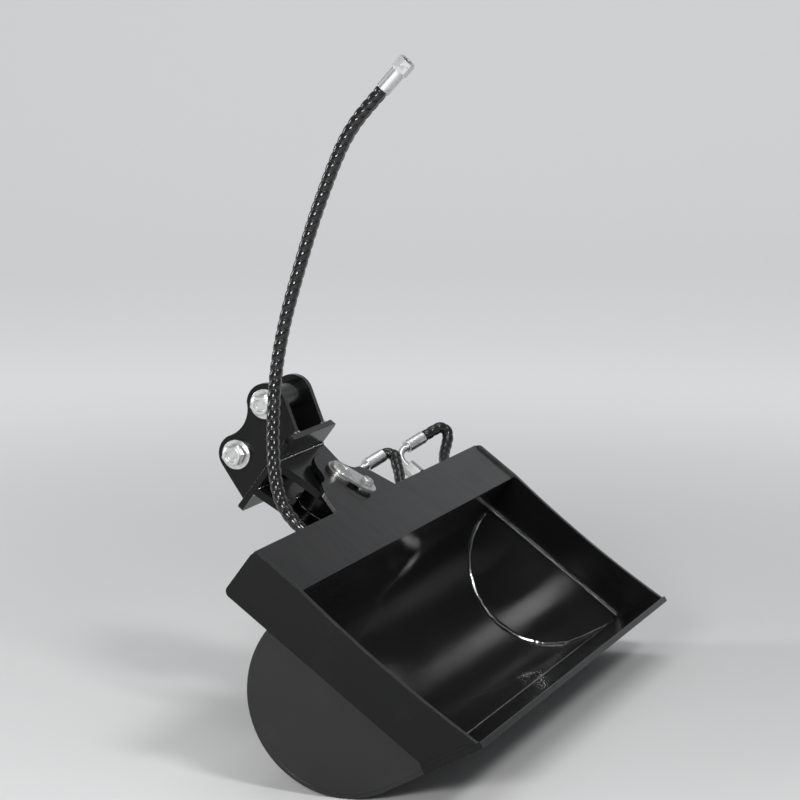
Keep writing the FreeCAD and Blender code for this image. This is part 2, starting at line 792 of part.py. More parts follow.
def cylinder_rod():
    bore = s.crank_pin / 2 + s.slot_gap
    rim = bore + s.eye_wall
    top = s.slot_rise

    def ring_round(radius):
        return [
            (radius, crank_height, None),
            (radius, crank_height + top, radius),
            (0, crank_height + top + radius, radius),
            (-radius, crank_height + top, None),
            (-radius, crank_height, radius),
            (0, crank_height - radius, radius),
        ]

    loops = []
    for radius in (rim, bore):
        loops.append([corner[:2] if corner[2] is None else corner for corner in ring_round(radius)])
    width = s.cheek_gap - 2 * s.eye_side_gap
    eye = plate("rod_eye_plate", "XZ", cylinder_back - width / 2, width, loops)
    rod_radius = s.rod_bore / 2
    socket_radius = rod_radius + s.rod_socket_wall
    socket = bar("rod_socket_outer", "X", socket_radius, s.rod_start + s.rod_socket - bore,
                 bore, cylinder_back, crank_height)
    window = plate("rod_eye_window", "XZ", cylinder_back - width, 2 * width, [loops[1]])
    hole = bar("rod_socket_bore", "X", rod_radius, s.rod_socket * 2, s.rod_start, cylinder_back, crank_height)
    body = cut("rod_eye_opened", fuse("rod_eye_whole", eye, socket), fuse("rod_eye_holes", window, hole))
    carry(body, "rod_eye")

    thread = s.rod_thread / 2
    nut_start = piston_start + s.piston_length
    shaft = bar("rod_shaft", "X", rod_radius, piston_start - s.rod_start, s.rod_start,
                cylinder_back, crank_height)
    spigot = bar("rod_spigot", "X", thread, s.piston_length + s.piston_nut_height, piston_start,
                 cylinder_back, crank_height)
    carry(fuse("cylinder_rod_whole", shaft, spigot), "cylinder_rod")

    piston_radius = s.barrel_bore / 2 - s.piston_gap
    seal_floor = piston_radius - s.seal_depth
    seal_start = piston_start + (s.piston_length - s.seal_width) / 2
    blank = ring("piston_blank", "X", piston_radius, thread, s.piston_length, piston_start,
                 cylinder_back, crank_height)
    groove = ring("piston_groove", "X", piston_radius + s.seal_depth, seal_floor, s.seal_width,
                  seal_start, cylinder_back, crank_height)
    carry(cut("piston_grooved", blank, groove), "piston")
    seal = ring("seal_ring", "X", s.barrel_bore / 2 - s.seal_gap, seal_floor, s.seal_width,
                seal_start, cylinder_back, crank_height)
    carry(seal, "piston_seal")
    nut = cut("piston_nut_bored",
              hexagon("piston_nut_hex", "X", s.piston_nut_flats, s.piston_nut_height,
                      nut_start, cylinder_back, crank_height),
              bar("piston_nut_bore", "X", thread, s.piston_nut_height, nut_start,
                  cylinder_back, crank_height))
    carry(nut, "piston_nut")


def cylinder_barrel():
    bore = s.barrel_bore / 2
    tube = ring("barrel_ring", "X", barrel_radius, bore, s.barrel_length, barrel_along,
                cylinder_back, crank_height)
    ports = []
    bosses = []
    for side, along in {"rod": rod_port, "base": base_port}.items():
        ports.append(bar(side + "_port_hole", "Z", s.port_bore / 2, 2 * barrel_radius, along,
                         cylinder_back, crank_height))
        bosses.append(ring(side + "_port_boss", "Z", s.port_boss / 2, s.port_bore / 2,
                           barrel_radius + s.port_boss_height, along, cylinder_back, crank_height))
    carry(cut("barrel_ported", tube, fuse("barrel_ports", *ports)), "cylinder_barrel")
    core = bar("boss_core", "X", barrel_radius, s.barrel_length, barrel_along, cylinder_back, crank_height)
    carry(cut("boss_pair_cut", fuse("boss_pair", *bosses), core), "port_bosses")

    clear = s.rod_bore / 2 + s.running_gap
    collar = bar("gland_collar_bar", "X", barrel_radius + s.gland_rim, s.gland_collar, gland_start,
                 cylinder_back, crank_height)
    spigot = bar("gland_spigot_bar", "X", bore, s.gland_spigot, barrel_along, cylinder_back, crank_height)
    way = bar("gland_bore", "X", clear, s.gland_collar + s.gland_spigot, gland_start,
              cylinder_back, crank_height)
    carry(cut("gland_bored", fuse("gland_whole", collar, spigot), way), "gland")
    wiper = ring("wiper_ring", "X", barrel_radius - s.barrel_wall, clear, s.wiper_wall,
                 gland_start - s.wiper_wall, cylinder_back, crank_height)
    carry(wiper, "rod_wiper")

    cap_start = barrel_end
    eye_width = s.cheek_gap - 2 * s.eye_side_gap
    eye_radius = s.lug_radius
    neck = s.cap_neck * eye_radius
    cap = fuse(
        "base_cap_whole",
        bar("cap_spigot_bar", "-X", bore, s.cap_spigot, cap_start, cylinder_back, crank_height),
        bar("cap_disc", "X", barrel_radius, s.cap_wall, cap_start, cylinder_back, crank_height),
        block("cap_neck", base_pin_along - cap_start, eye_width, 2 * neck,
              cap_start, cylinder_back - eye_width / 2, crank_height - neck),
        bar("cap_eye", "Y", eye_radius, eye_width, base_pin_along, cylinder_back - eye_width / 2, crank_height),
    )
    pin_hole = bar("cap_pin_hole", "Y", s.base_pin / 2, 2 * eye_width, base_pin_along,
                   cylinder_back - eye_width, crank_height)
    carry(cut("base_cap_bored", cap, pin_hole), "base_cap")

    pin = (base_pin_along, crank_height)
    foot = [
        (base_pin_along + s.lug_foot, shell_top),
        (*on_circle(pin, s.lug_radius, 0), s.lug_radius),
        (*on_circle(pin, s.lug_radius, 90), s.lug_radius),
        on_circle(pin, s.lug_radius, 180),
        (base_pin_along - s.lug_radius, shell_top),
    ]
    inside = eye_width / 2 + s.lug_gap
    hole = [(base_pin_along, crank_height, s.base_pin / 2)]
    front = plate("lug_front", "XZ", cylinder_back - inside - s.lug_wall, s.lug_wall, [foot], hole)
    rear = plate("lug_rear", "XZ", cylinder_back + inside, s.lug_wall, [foot], hole)
    carry(group("lug_pair", front, rear), "cylinder_lugs")
    pin_start = cylinder_back - inside - s.lug_wall
    pin_length = 2 * (inside + s.lug_wall)
    shank = bar("base_pin_shank", "Y", s.base_pin / 2, pin_length, base_pin_along, pin_start, crank_height)
    head = bar("base_pin_head_bar", "Y", s.base_pin / 2 + s.base_pin_rim, s.base_pin_head,
               base_pin_along, pin_start + pin_length, crank_height)
    carry(fuse("base_pin_whole", shank, head), "base_pin")


def port_fittings():
    """Nut, swept elbow and crimped ferrule on each port, turned forward over the front plate."""
    nuts = []
    elbows = []
    ferrules = []
    tube = s.elbow_tube / 2
    leg_start = boss_top
    for side, along in {"rod": rod_port, "base": base_port}.items():
        turn = FreeCAD.Rotation(vector(0, 0, 1), -float(sheet.get("elbow_turn")))
        nut = cut(side + "_nut_bored",
                  hexagon(side + "_nut_hex", "Z", s.port_nut_flats, s.port_nut_height, along,
                          cylinder_back, boss_top),
                  bar(side + "_nut_bore", "Z", tube, s.port_nut_height, along, cylinder_back, boss_top))
        nuts.append(nut)
        leg = bar(side + "_leg", "Z", tube, s.elbow_rise)
        sweep = doc.addObject("Part::Torus", side + "_sweep")
        bind(sweep, Radius1=s.elbow_radius, Radius2=tube, Angle3=90 + s.elbow_droop)
        put(sweep, s.elbow_radius, 0, s.elbow_rise,
            FreeCAD.Rotation(vector(-1, 0, 0), vector(0, 0, 1), vector(0, 1, 0), "XYZ"))
        end_x = s.elbow_radius + s.elbow_radius * sine(s.elbow_droop)
        end_z = s.elbow_rise + s.elbow_radius * cosine(s.elbow_droop)
        droop = FreeCAD.Rotation(vector(0, 1, 0), 90 + float(sheet.get("elbow_droop")))
        tail = doc.addObject("Part::Cylinder", side + "_tail")
        bind(tail, Radius=tube, Height=s.elbow_tail)
        put(tail, end_x, 0, end_z, droop)
        shoulder = doc.addObject("Part::Cone", side + "_shoulder")
        bind(shoulder, Radius1=tube, Radius2=s.hose_diameter / 2, Height=s.elbow_tail)
        put(shoulder, end_x, 0, end_z, droop)
        elbow = fuse(side + "_elbow", leg, sweep, tail, shoulder)
        put(elbow, along, cylinder_back, leg_start, turn)
        elbows.append(elbow)
        sleeve = doc.addObject("Part::Cylinder", side + "_ferrule_bar")
        bind(sleeve, Radius=s.hose_diameter / 2 + s.ferrule_wall, Height=s.ferrule_length)
        put(sleeve, end_x + s.elbow_tail * cosine(s.elbow_droop), 0,
            end_z - s.elbow_tail * sine(s.elbow_droop), droop)
        holder = group(side + "_ferrule_turned", sleeve)
        put(holder, along, cylinder_back, leg_start, turn)
        ferrules.append(holder)
    carry(group("port_nut_pair", *nuts), "port_nuts")
    carry(group("hose_elbow_pair", *elbows), "hose_elbows")
    carry(group("port_ferrule_pair", *ferrules), "port_ferrules")


# The hoses hang from the machine, pass left of the headstock, run along the channel behind
# the front plate and come back up to the ports. Points are (x, y, z) in the design axes.
hose_routes = {
    "hose_a": [
        (-75, -545, 770), (-76, -515, 773), (-78, -484, 775), (-82, -448, 772), (-87, -412, 763),
        (-93, -370, 750), (-99, -328, 736), (-105, -283, 719), (-111, -238, 701), (-116, -191, 682),
        (-121, -146, 661), (-129, -102, 635), (-144, -60, 601), (-163, -24, 566), (-182, 6, 530),
        (-197, 28, 493), (-205, 34, 452), (-198, 34, 415), (-176, 33, 383), (-145, 31, 363),
        (-105, 29, 358), (-60, 27.5, 359), (-8, 27, 358), (45, 26.5, 359), (92, 26, 362),
        (121, 24, 370), (139, 21.5, 382.5), (153, 20.7, 396), (166, 20.7, 409.5), (180, 20.9, 423),
        (194, 20.3, 438.5), (210, 15.6, 450.4), (221, 13.3, 461.5), (231.5, 11.3, 470.6), (240.3, 8.8, 477.1),
        (243.1, 10.8, 486.2),
    ],
    "hose_b": [
        (-48.1, -535.6, 775.4), (-49.1, -505.6, 778.4), (-51.1, -474.6, 780.4), (-56.9, -439.3, 777),
        (-63.3, -403.8, 767.7), (-70.7, -362.2, 754.4), (-76.7, -320.2, 740.4), (-82.7, -275.2, 723.4),
        (-88.7, -230.2, 705.4), (-93.7, -183.2, 686.4), (-98.7, -138.2, 665.4), (-106.7, -94.2, 639.4),
        (-121.7, -52.2, 605.4), (-140.7, -16.2, 570.4), (-159.7, 13.8, 534.4), (-174.7, 35.8, 497.4),
        (-182.7, 41.8, 456.4), (-178, 46, 419), (-158, 50, 385), (-126, 52, 364), (-82, 52, 358),
        (-36, 51, 359), (14, 50, 358), (66, 49, 359), (118, 48, 358), (170, 47, 359), (220, 44, 358),
        (262, 38, 360), (298, 31, 367), (326, 26, 381), (350, 21.5, 397), (374, 21, 411),
        (393, 21, 425), (410, 20.5, 437), (428, 17, 447), (445, 12, 454.5), (458.5, 5, 461.5),
        (468.6, -2.9, 470.8), (469.1, -4.9, 480.6), (463.6, -2.5, 488.5),
    ],
}


def fitting_exit(along):
    """Where a hose leaves its ferrule, and which way it points there."""
    turn = math.radians(s.elbow_turn.number)
    droop = math.radians(s.elbow_droop.number)
    reach = s.elbow_tail.number + s.ferrule_length.number
    bend = s.elbow_radius.number
    out = bend + bend * math.sin(droop) + reach * math.cos(droop)
    up = (boss_top + s.elbow_rise).number + bend * math.cos(droop) - reach * math.sin(droop)
    spot = vector(along + out * math.cos(turn), cylinder_back.number - out * math.sin(turn), up)
    way = vector(math.cos(turn) * math.cos(droop), -math.sin(turn) * math.cos(droop), -math.sin(droop))
    return spot, way


def tube_along(points, radius, name):
    """A round tube on straight runs joined by tangent arcs as large as the runs allow."""
    edges = []
    radii = []
    start = points[0]
    for i in range(1, len(points) - 1):
        before = points[i].sub(points[i - 1])
        after = points[i + 1].sub(points[i])
        turn = before.getAngle(after)
        trim = 0.45 * min(before.Length, after.Length)
        radii.append(trim / math.tan(turn / 2))
        enter = points[i].sub(vector(before).normalize().multiply(trim))
        leave = points[i].add(vector(after).normalize().multiply(trim))
        back = vector(after).normalize().sub(vector(before).normalize()).normalize()
        centre_reach = radii[-1] / math.cos(turn / 2)
        middle = points[i].add(vector(back).multiply(centre_reach - radii[-1]))
        edges.append(Part.LineSegment(start, enter).toShape())
        edges.append(Part.Arc(enter, middle, leave).toShape())
        start = leave
    edges.append(Part.LineSegment(start, points[-1]).toShape())
    path = Part.Wire(edges)
    ring_edge = Part.Circle(points[0], points[1].sub(points[0]), radius).toShape()
    tube = path.makePipeShell([Part.Wire([ring_edge])], True, False)
    expected = math.pi * radius * radius * path.Length
    print(f"{name}: length {path.Length:.0f}, smallest radii {[round(r) for r in sorted(radii)[:6]]},"
          f" volume {tube.Volume / expected:.4f} of section times length")
    return tube, points[0], points[1]


def hoses():
    radius = s.hose_diameter.number / 2
    ports = {"hose_a": rod_port.number, "hose_b": base_port.number}
    laid_for = {"hose_a": 176, "hose_b": 372}
    for name, route in hose_routes.items():
        spot, way = fitting_exit(ports[name])
        outside = spot.add(vector(way).multiply(s.hose_exit_run.number))
        moved = ports[name] - laid_for[name]
        points = [vector(x + moved * min(1, max(0, x / laid_for[name])), y, z) for x, y, z in route]
        points += [outside, spot]
        tube, top, second = tube_along(points, radius, name)
        thing = doc.addObject("Part::Feature", name + "_tube")
        thing.Shape = tube
        carry(thing, name)
        up = top.sub(second).normalize()
        sleeve = Part.makeCylinder(radius + s.ferrule_wall.number, s.ferrule_length.number, top, up)
        collar = doc.addObject("Part::Feature", name + "_collar")
        collar.Shape = sleeve
        carry(collar, name + "_ferrule")
        base = top.add(vector(up).multiply(s.ferrule_length.number))
        flats = s.top_nut_flats.number / 2 / math.cos(math.radians(30))
        rim = [vector(flats * math.cos(math.radians(a)), flats * math.sin(math.radians(a)), 0)
               for a in range(0, 361, 60)]
        nut = Part.Face(Part.makePolygon(rim)).extrude(vector(0, 0, s.top_nut_length.number))
        depth = s.top_nut_depth.number
        thread = Part.makeCylinder(s.top_nut_thread.number / 2, depth, vector(0, 0, s.top_nut_length.number - depth))
        nut = nut.cut(thread)
        nut.Placement = FreeCAD.Placement(base, FreeCAD.Rotation(vector(0, 0, 1), up))
        holder = doc.addObject("Part::Feature", name + "_swivel")
        holder.Shape = Part.makeCompound([nut])
        carry(holder, name + "_nut")


def grease_nipple():
    """On top of the hub, half way along it."""
    hub_top = pivot_height + s.hub_radius
    nipple = bar("nipple_hub", "Z", s.nipple_radius, s.nipple_length, 0, cylinder_back, hub_top)
    carry(group("nipple_whole", nipple), "grease_nipple")


bucket_shell()
cutting_edge()
end_plates()
side_blades()
front_plate()
rear_pivot_plate()
gussets()
tilt_pivot()
pin_flag()
headstock()
coupler_ears()
coupler_pins()
cylinder_rod()
cylinder_barrel()
port_fittings()
hoses()
grease_nipple()
doc.recompute()

for thing in doc.Objects:
    if "Invalid" in thing.State or "Error" in thing.State:
        raise SystemExit(f"{thing.Label} failed: {thing.State}")

os.makedirs("parts", exist_ok=True)
for thing in sub_parts:
    shape = thing.Shape
    if shape.isNull() or not shape.isValid():
        raise SystemExit(f"{thing.Label} has no valid shape")
    shape.exportStep(f"parts/{thing.Label}.step")
    print(thing.Label, len(shape.Solids), round(shape.Volume))
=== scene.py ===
import bpy
import bmesh
import math
from mathutils import Matrix, Vector


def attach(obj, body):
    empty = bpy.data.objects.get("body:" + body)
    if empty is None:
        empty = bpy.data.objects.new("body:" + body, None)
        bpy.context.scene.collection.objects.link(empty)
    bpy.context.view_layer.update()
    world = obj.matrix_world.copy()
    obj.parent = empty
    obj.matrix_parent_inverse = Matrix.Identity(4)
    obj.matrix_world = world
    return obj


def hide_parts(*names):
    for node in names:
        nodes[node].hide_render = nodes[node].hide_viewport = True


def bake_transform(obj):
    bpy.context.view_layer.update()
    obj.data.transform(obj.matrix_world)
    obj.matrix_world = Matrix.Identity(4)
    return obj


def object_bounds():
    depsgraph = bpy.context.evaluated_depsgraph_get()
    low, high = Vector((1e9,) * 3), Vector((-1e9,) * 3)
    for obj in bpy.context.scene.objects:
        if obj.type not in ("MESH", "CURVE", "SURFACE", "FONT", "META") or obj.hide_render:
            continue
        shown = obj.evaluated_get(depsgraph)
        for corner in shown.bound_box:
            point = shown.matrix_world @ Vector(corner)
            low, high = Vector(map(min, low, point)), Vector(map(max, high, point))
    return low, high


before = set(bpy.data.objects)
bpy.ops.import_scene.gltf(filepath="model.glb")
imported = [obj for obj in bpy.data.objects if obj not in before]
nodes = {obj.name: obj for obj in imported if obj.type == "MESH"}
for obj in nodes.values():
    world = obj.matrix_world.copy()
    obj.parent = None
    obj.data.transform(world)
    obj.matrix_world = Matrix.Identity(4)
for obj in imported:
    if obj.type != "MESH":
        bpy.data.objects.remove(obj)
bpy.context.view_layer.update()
print("frame loaded:", len(nodes), "parts")


# The bucket was drawn upright, in millimetres, and is carried turned about the front coupler pin.
attitude = {"carryAngle": 53.4, "pinBack": -28.5, "pinHeight": 637.5}
turnCos = math.cos(math.radians(attitude["carryAngle"]))
turnSin = math.sin(math.radians(attitude["carryAngle"]))


# Shop drawing millimetres to the carried position in metres.
def place(x, y, z):
    back = y - attitude["pinBack"]
    up = z - attitude["pinHeight"]
    return Vector((x, turnCos * back + turnSin * up, turnCos * up - turnSin * back)) / 1000


# Shader building

# A shader value that adds its own Math node for each sum.
class Wire:
    def __init__(self, shader, link):
        self.shader = shader
        self.link = link

    def mathNode(self, operation, *values):
        return self.shader.node("ShaderNodeMath", {"operation": operation}, values)["Value"]

    def __add__(self, other):
        return self.mathNode("ADD", self, other)

    def __radd__(self, other):
        return self.mathNode("ADD", other, self)

    def __sub__(self, other):
        return self.mathNode("SUBTRACT", self, other)

    def __rsub__(self, other):
        return self.mathNode("SUBTRACT", other, self)

    def __mul__(self, other):
        return self.mathNode("MULTIPLY", self, other)

    def __rmul__(self, other):
        return self.mathNode("MULTIPLY", other, self)

    def sine(self):
        return self.mathNode("SINE", self)

    def fraction(self):
        return self.mathNode("FRACT", self)

    def clamp(self):
        return self.mathNode("MINIMUM", self.mathNode("MAXIMUM", self, 0), 1)


# A shader node whose outputs are asked for by name.
class Made:
    def __init__(self, shader, item):
        self.shader = shader
        self.item = item

    def __getitem__(self, key):
        return Wire(self.shader, self.item.outputs[key])


# One material and the nodes in it.
class Shader:
    def __init__(self, name):
        self.material = bpy.data.materials.new(name)
        self.material.use_nodes = True
        self.tree = self.material.node_tree
        self.tree.nodes.clear()

    # Adds a node: its settings first, then the values or links of its sockets, by place or by name.
    def node(self, kind, settings=None, values=()):
        item = self.tree.nodes.new(kind)
        for key, value in (settings or {}).items():
            setattr(item, key, value)
        pairs = values.items() if isinstance(values, dict) else enumerate(values)
        for key, value in pairs:
            if isinstance(value, Wire):
                self.tree.links.new(value.link, item.inputs[key])
            else:
                item.inputs[key].default_value = value
        return Made(self, item)

    def noise(self, vector, scale, detail=4, roughness=0.55):
        return self.node("ShaderNodeTexNoise", {}, {
            "Vector": vector, "Scale": scale, "Detail": detail, "Roughness": roughness})["Fac"]

    # 0 below low, 1 above high, smooth between.
    def band(self, value, low, high):
        return self.node("ShaderNodeMapRange", {"interpolation_type": "SMOOTHSTEP"}, {
            "Value": value, "From Min": low, "From Max": high})["Result"]

    def mix(self, share, first, second):
        made = self.node("ShaderNodeMix", {"data_type": "RGBA"}, {
            0: share, 6: colour(first), 7: colour(second)})
        return Wire(self, made.item.outputs[2])

    def bump(self, height, strength, distance, under=None):
        values = {"Height": height, "Strength": strength, "Distance": distance}
        if under is not None:
            values["Normal"] = under
        return self.node("ShaderNodeBump", {}, values)["Normal"]

    def rounded(self, radius):
        return self.node("ShaderNodeBevel", {"samples": 6}, {"Radius": radius})["Normal"]

    def finish(self, **values):
        body = self.node("ShaderNodeBsdfPrincipled", {}, {
            key.replace("_", " "): colour(value) for key, value in values.items()})
        self.node("ShaderNodeOutputMaterial", {}, {"Surface": body["BSDF"]})
        return self.material


def colour(value):
    return (*value, 1) if isinstance(value, tuple) and len(value) == 3 else value


# Finishes

paintLook = {
    "colour": (0.0052, 0.0053, 0.0056), "dust": (0.012, 0.012, 0.013),
    "roughness": 0.2, "gloss": 1.3, "peelScale": 240, "peelDepth": 0.00005, "edge": 0.0013,
}
# Painted light: a lighter, glossier copy of the black paint for the shell and end plates, which brightens the
# inside of the bucket.
litShellLook = {
    "colour": (0.0150, 0.0150, 0.0154), "dust": (0.024, 0.024, 0.024),
    "roughness": 0.15, "gloss": 1.42, "peelScale": 240, "peelDepth": 0.00005, "edge": 0.0013,
}
beadLook = {
    "colour": (0.0060, 0.0061, 0.0065), "dust": (0.012, 0.012, 0.013),
    "roughness": 0.14, "gloss": 4.6, "peelScale": 500, "peelDepth": 0.00004, "edge": 0.0001,
}
paintGrain = {
    "dustScale": 9, "dustBand": (0.48, 0.75), "dustShare": 0.35, "dustRoughness": 0.06,
    "speckScale": 900, "speckBand": (0.70, 0.76), "speckShare": 0.5,
    "fineScale": 420, "fineRoughness": 0.05, "sagScale": 30, "sagDepth": 6, "relief": 0.5,
}
zincLook = {
    # The near-black colour and the crevice settings paint shade into the zinc's crevices.
    "bright": (0.82, 0.82, 0.81), "dull": (0.45, 0.455, 0.46), "grime": (0.05, 0.048, 0.045),
    "cloudScale": 70, "cloudShare": 0.5, "blotchScale": 170, "blotchBand": (0.50, 0.68), "blotchShare": 0.5,
    "reach": 0.0035, "creviceBand": (0.35, 0.85), "creviceShare": 0.8,
    "roughness": 0.34, "cloudRoughness": 0.22, "blotchRoughness": 0.1,
    "edge": 0.0009, "grainScale": 700, "grainDepth": 0.00009,
}
steelLook = {
    "markScale": 160, "filmScale": 24, "filmBand": (0.45, 0.7), "filmShade": 0.6, "filmShare": 0.5,
    "markShare": 0.2, "markRoughness": 0.18, "filmRoughness": 0.08, "markDepth": 0.00006, "edge": 0.0006,
}
metals = {
    "bare_steel": {"tint": (0.56, 0.55, 0.53), "roughness": 0.32, "streak": (1, 6, 6)},
    "hard_chrome": {"tint": (0.83, 0.84, 0.86), "roughness": 0.12, "streak": (1, 9, 9)},
    "bronze": {"tint": (0.72, 0.47, 0.2), "roughness": 0.3, "streak": (1, 5, 5)},
}
rubberLook = {
    "black": (0.02, 0.02, 0.02), "bloom": (0.045, 0.044, 0.042), "bloomScale": 130,
    "roughness": 0.55, "bloomRoughness": 0.2, "grainScale": 800, "grainDepth": 0.00006,
}
guardLook = {
    "plastic": (0.008, 0.008, 0.0085), "scuffed": (0.03, 0.029, 0.028), "gloss": 1.5,
    "crestRise": (0.12, 0.45), "crestFall": (0.55, 0.88),
    "scuffScale": 75, "scuffBand": (0.5, 0.72), "scuffShare": 0.8,
    "roughness": 0.12, "scuffRoughness": 0.12, "grooveRoughness": 0.12, "grainRoughness": 0.08,
    "grainScale": 520, "grainDepth": 0.00006, "ribs": 4, "ribDepth": 0.00008,
}


# Gloss black paint on steel: a little orange peel, faint dust and softened edges.
def blackPaint(name, look, grain):
    s = Shader(name)
    spot = s.node("ShaderNodeTexCoord")["Object"]
    dust = s.band(s.noise(spot, grain["dustScale"], 6), *grain["dustBand"])
    fine = s.noise(spot, grain["fineScale"], 2)
    speck = s.band(s.noise(spot, grain["speckScale"], 1), *grain["speckBand"])
    share = dust * grain["dustShare"] + speck * grain["speckShare"]
    shade = s.mix(share, look["colour"], look["dust"])
    rough = look["roughness"] + dust * grain["dustRoughness"] + (fine - 0.5) * grain["fineRoughness"]
    peel = s.noise(spot, look["peelScale"], 2, 0.4)
    sag = s.noise(spot, grain["sagScale"], 2, 0.4)
    smooth = s.rounded(look["edge"])
    ripple = s.bump(peel, grain["relief"], look["peelDepth"], smooth)
    wave = s.bump(sag, grain["relief"], look["peelDepth"] * grain["sagDepth"], ripple)
    return s.finish(Base_Color=shade, Roughness=rough.clamp(), Normal=wave, IOR=look["gloss"])


# Bright zinc plate with a cloudy, slightly blotched surface, and painted shade darkening its crevices and the
# joints between parts.
def zincPlate(name, look):
    s = Shader(name)
    spot = s.node("ShaderNodeTexCoord")["Object"]
    cloud = s.noise(spot, look["cloudScale"], 5, 0.6)
    blotch = s.band(s.noise(spot, look["blotchScale"], 3, 0.6), *look["blotchBand"])
    share = cloud * look["cloudShare"] + blotch * look["blotchShare"]
    plated = s.mix(share, look["bright"], look["dull"])
    # Painted shade: ambient occlusion turns the colour towards near black in crevices and where parts meet.
    openness = s.node("ShaderNodeAmbientOcclusion", {"samples": 8}, {"Distance": look["reach"]})["AO"]
    shadedCrevice = 1 - s.band(openness, *look["creviceBand"])
    shade = s.mix(shadedCrevice * look["creviceShare"], plated, look["grime"])
    rough = look["roughness"] + (cloud - 0.5) * look["cloudRoughness"] + blotch * look["blotchRoughness"]
    smooth = s.rounded(look["edge"])
    grain = s.bump(s.noise(spot, look["grainScale"], 3), 0.3, look["grainDepth"], smooth)
    return s.finish(Base_Color=shade, Metallic=1.0, Roughness=rough.clamp(), Normal=grain)


# Machined metal with fine tool marks and a film of oil in places.
def turnedMetal(name, metal, look):
    s = Shader(name)
    spot = s.node("ShaderNodeTexCoord")["Object"]
    stretched = s.node("ShaderNodeMapping", {}, {"Vector": spot, "Scale": metal["streak"]})["Vector"]
    marks = s.noise(stretched, look["markScale"], 4, 0.6)
    film = s.band(s.noise(spot, look["filmScale"], 4), *look["filmBand"])
    darker = tuple(look["filmShade"] * level for level in metal["tint"])
    shade = s.mix(film * look["filmShare"] + marks * look["markShare"], metal["tint"], darker)
    rough = metal["roughness"] + (marks - 0.5) * look["markRoughness"] + film * look["filmRoughness"]
    grain = s.bump(marks, 0.2, look["markDepth"], s.rounded(look["edge"]))
    return s.finish(Base_Color=shade, Metallic=1.0, Roughness=rough.clamp(), Normal=grain)


# Black seal rubber with a matt bloom.
def sealRubber(name, look):
    s = Shader(name)
    spot = s.node("ShaderNodeTexCoord")["Object"]
    bloom = s.noise(spot, look["bloomScale"], 4)
    shade = s.mix(bloom, look["black"], look["bloom"])
    rough = look["roughness"] + bloom * look["bloomRoughness"]
    grain = s.bump(s.noise(spot, look["grainScale"], 2), 0.3, look["grainDepth"])
    return s.finish(Base_Color=shade, Roughness=rough.clamp(), Normal=grain)


# Glossy black spiral guard: scuffed on its crests, duller in its grooves, with fine moulded ribs.
# Its map runs one unit for each turn of the spiral.
def guardPlastic(name, look):
    s = Shader(name)
    spot = s.node("ShaderNodeTexCoord")["Object"]
    turns = s.node("ShaderNodeUVMap", {"uv_map": "turns"})["UV"]
    turn = s.node("ShaderNodeSeparateXYZ", {}, {"Vector": turns})["X"]
    share = turn.fraction()
    crest = s.band(share, *look["crestRise"]) - s.band(share, *look["crestFall"])
    scuff = s.band(s.noise(spot, look["scuffScale"], 5, 0.65), *look["scuffBand"])
    grain = s.noise(spot, look["grainScale"], 3)
    shade = s.mix(scuff * crest * look["scuffShare"], look["plastic"], look["scuffed"])
    worn = scuff * look["scuffRoughness"] + (1 - crest) * look["grooveRoughness"]
    rough = look["roughness"] + worn + (grain - 0.5) * look["grainRoughness"]
    ribs = (turn * (2 * math.pi * look["ribs"])).sine()
    moulded = s.bump(ribs, 0.15, look["ribDepth"])
    fine = s.bump(grain, 0.25, look["grainDepth"], moulded)
    return s.finish(Base_Color=shade, Roughness=rough.clamp(), Normal=fine, IOR=look["gloss"])


finishes = {
    "black_paint": blackPaint("black_paint", paintLook, paintGrain),
    "lit_shell_paint": blackPaint("lit_shell_paint", litShellLook, paintGrain),
    "bead_paint": blackPaint("bead_paint", beadLook, paintGrain),
    "zinc_plate": zincPlate("zinc_plate", zincLook),
    "seal_rubber": sealRubber("seal_rubber", rubberLook),
    "hose_cover": guardPlastic("hose_cover", guardLook),
}
for name, metal in metals.items():
    finishes[name] = turnedMetal(name, metal, steelLook)
finishOf = {
    "lit_shell_paint": ["bucket_shell", "left_end_plate", "right_end_plate"],
    "zinc_plate": ["pin_flag", "flag_bolt", "pin_washers", "lock_washers", "pin_end_bolts", "port_nuts",
                   "hose_elbows", "port_ferrules", "hose_a_ferrule", "hose_b_ferrule", "hose_a_nut",
                   "hose_b_nut", "grease_nipple", "piston_nut"],
    "bare_steel": ["tilt_pin", "crank_pin", "front_pin", "rear_pin", "thrust_washers", "base_pin", "piston",
                   "flag_pads"],
    "hard_chrome": ["cylinder_rod"],
    "bronze": ["hub_bushes"],
    "seal_rubber": ["rod_wiper", "piston_seal"],
    "hose_cover": ["hose_a", "hose_b"],
}
chosen = {part: finish for finish, parts in finishOf.items() for part in parts}
for name, thing in nodes.items():
    thing.data.materials.clear()
    thing.data.materials.append(finishes[chosen.get(name, "black_paint")])
    for face in thing.data.polygons:
        face.material_index = 0
print("finishes on", len(nodes), "parts")


# Ends the building of a mesh and adds it to the scene in one finish.
def addMesh(name, mesh, finish):
    bmesh.ops.recalc_face_normals(mesh, faces=mesh.faces)
    data = bpy.data.meshes.new(name)
    mesh.to_mesh(data)
    mesh.free()
    data.materials.append(finishes[finish])
    thing = bpy.data.objects.new(name, data)
    bpy.context.scene.collection.objects.link(thing)
    return thing


# Hoses

# In metres, apart from the channel's height and fade, which are shop drawing millimetres.
hoseLook = {
    "diameter": 0.017, "bore": 0.0164, "shoulder": 0.0178, "crest": 0.0198, "channelCrest": 0.0182,
    "channelHeight": 440, "channelFade": 25, "pitch": 0.0158, "groove": 0.075, "hand": -1, "endFade": 0.004,
    "step": 0.00112, "sides": 24, "splineSteps": 16,
}
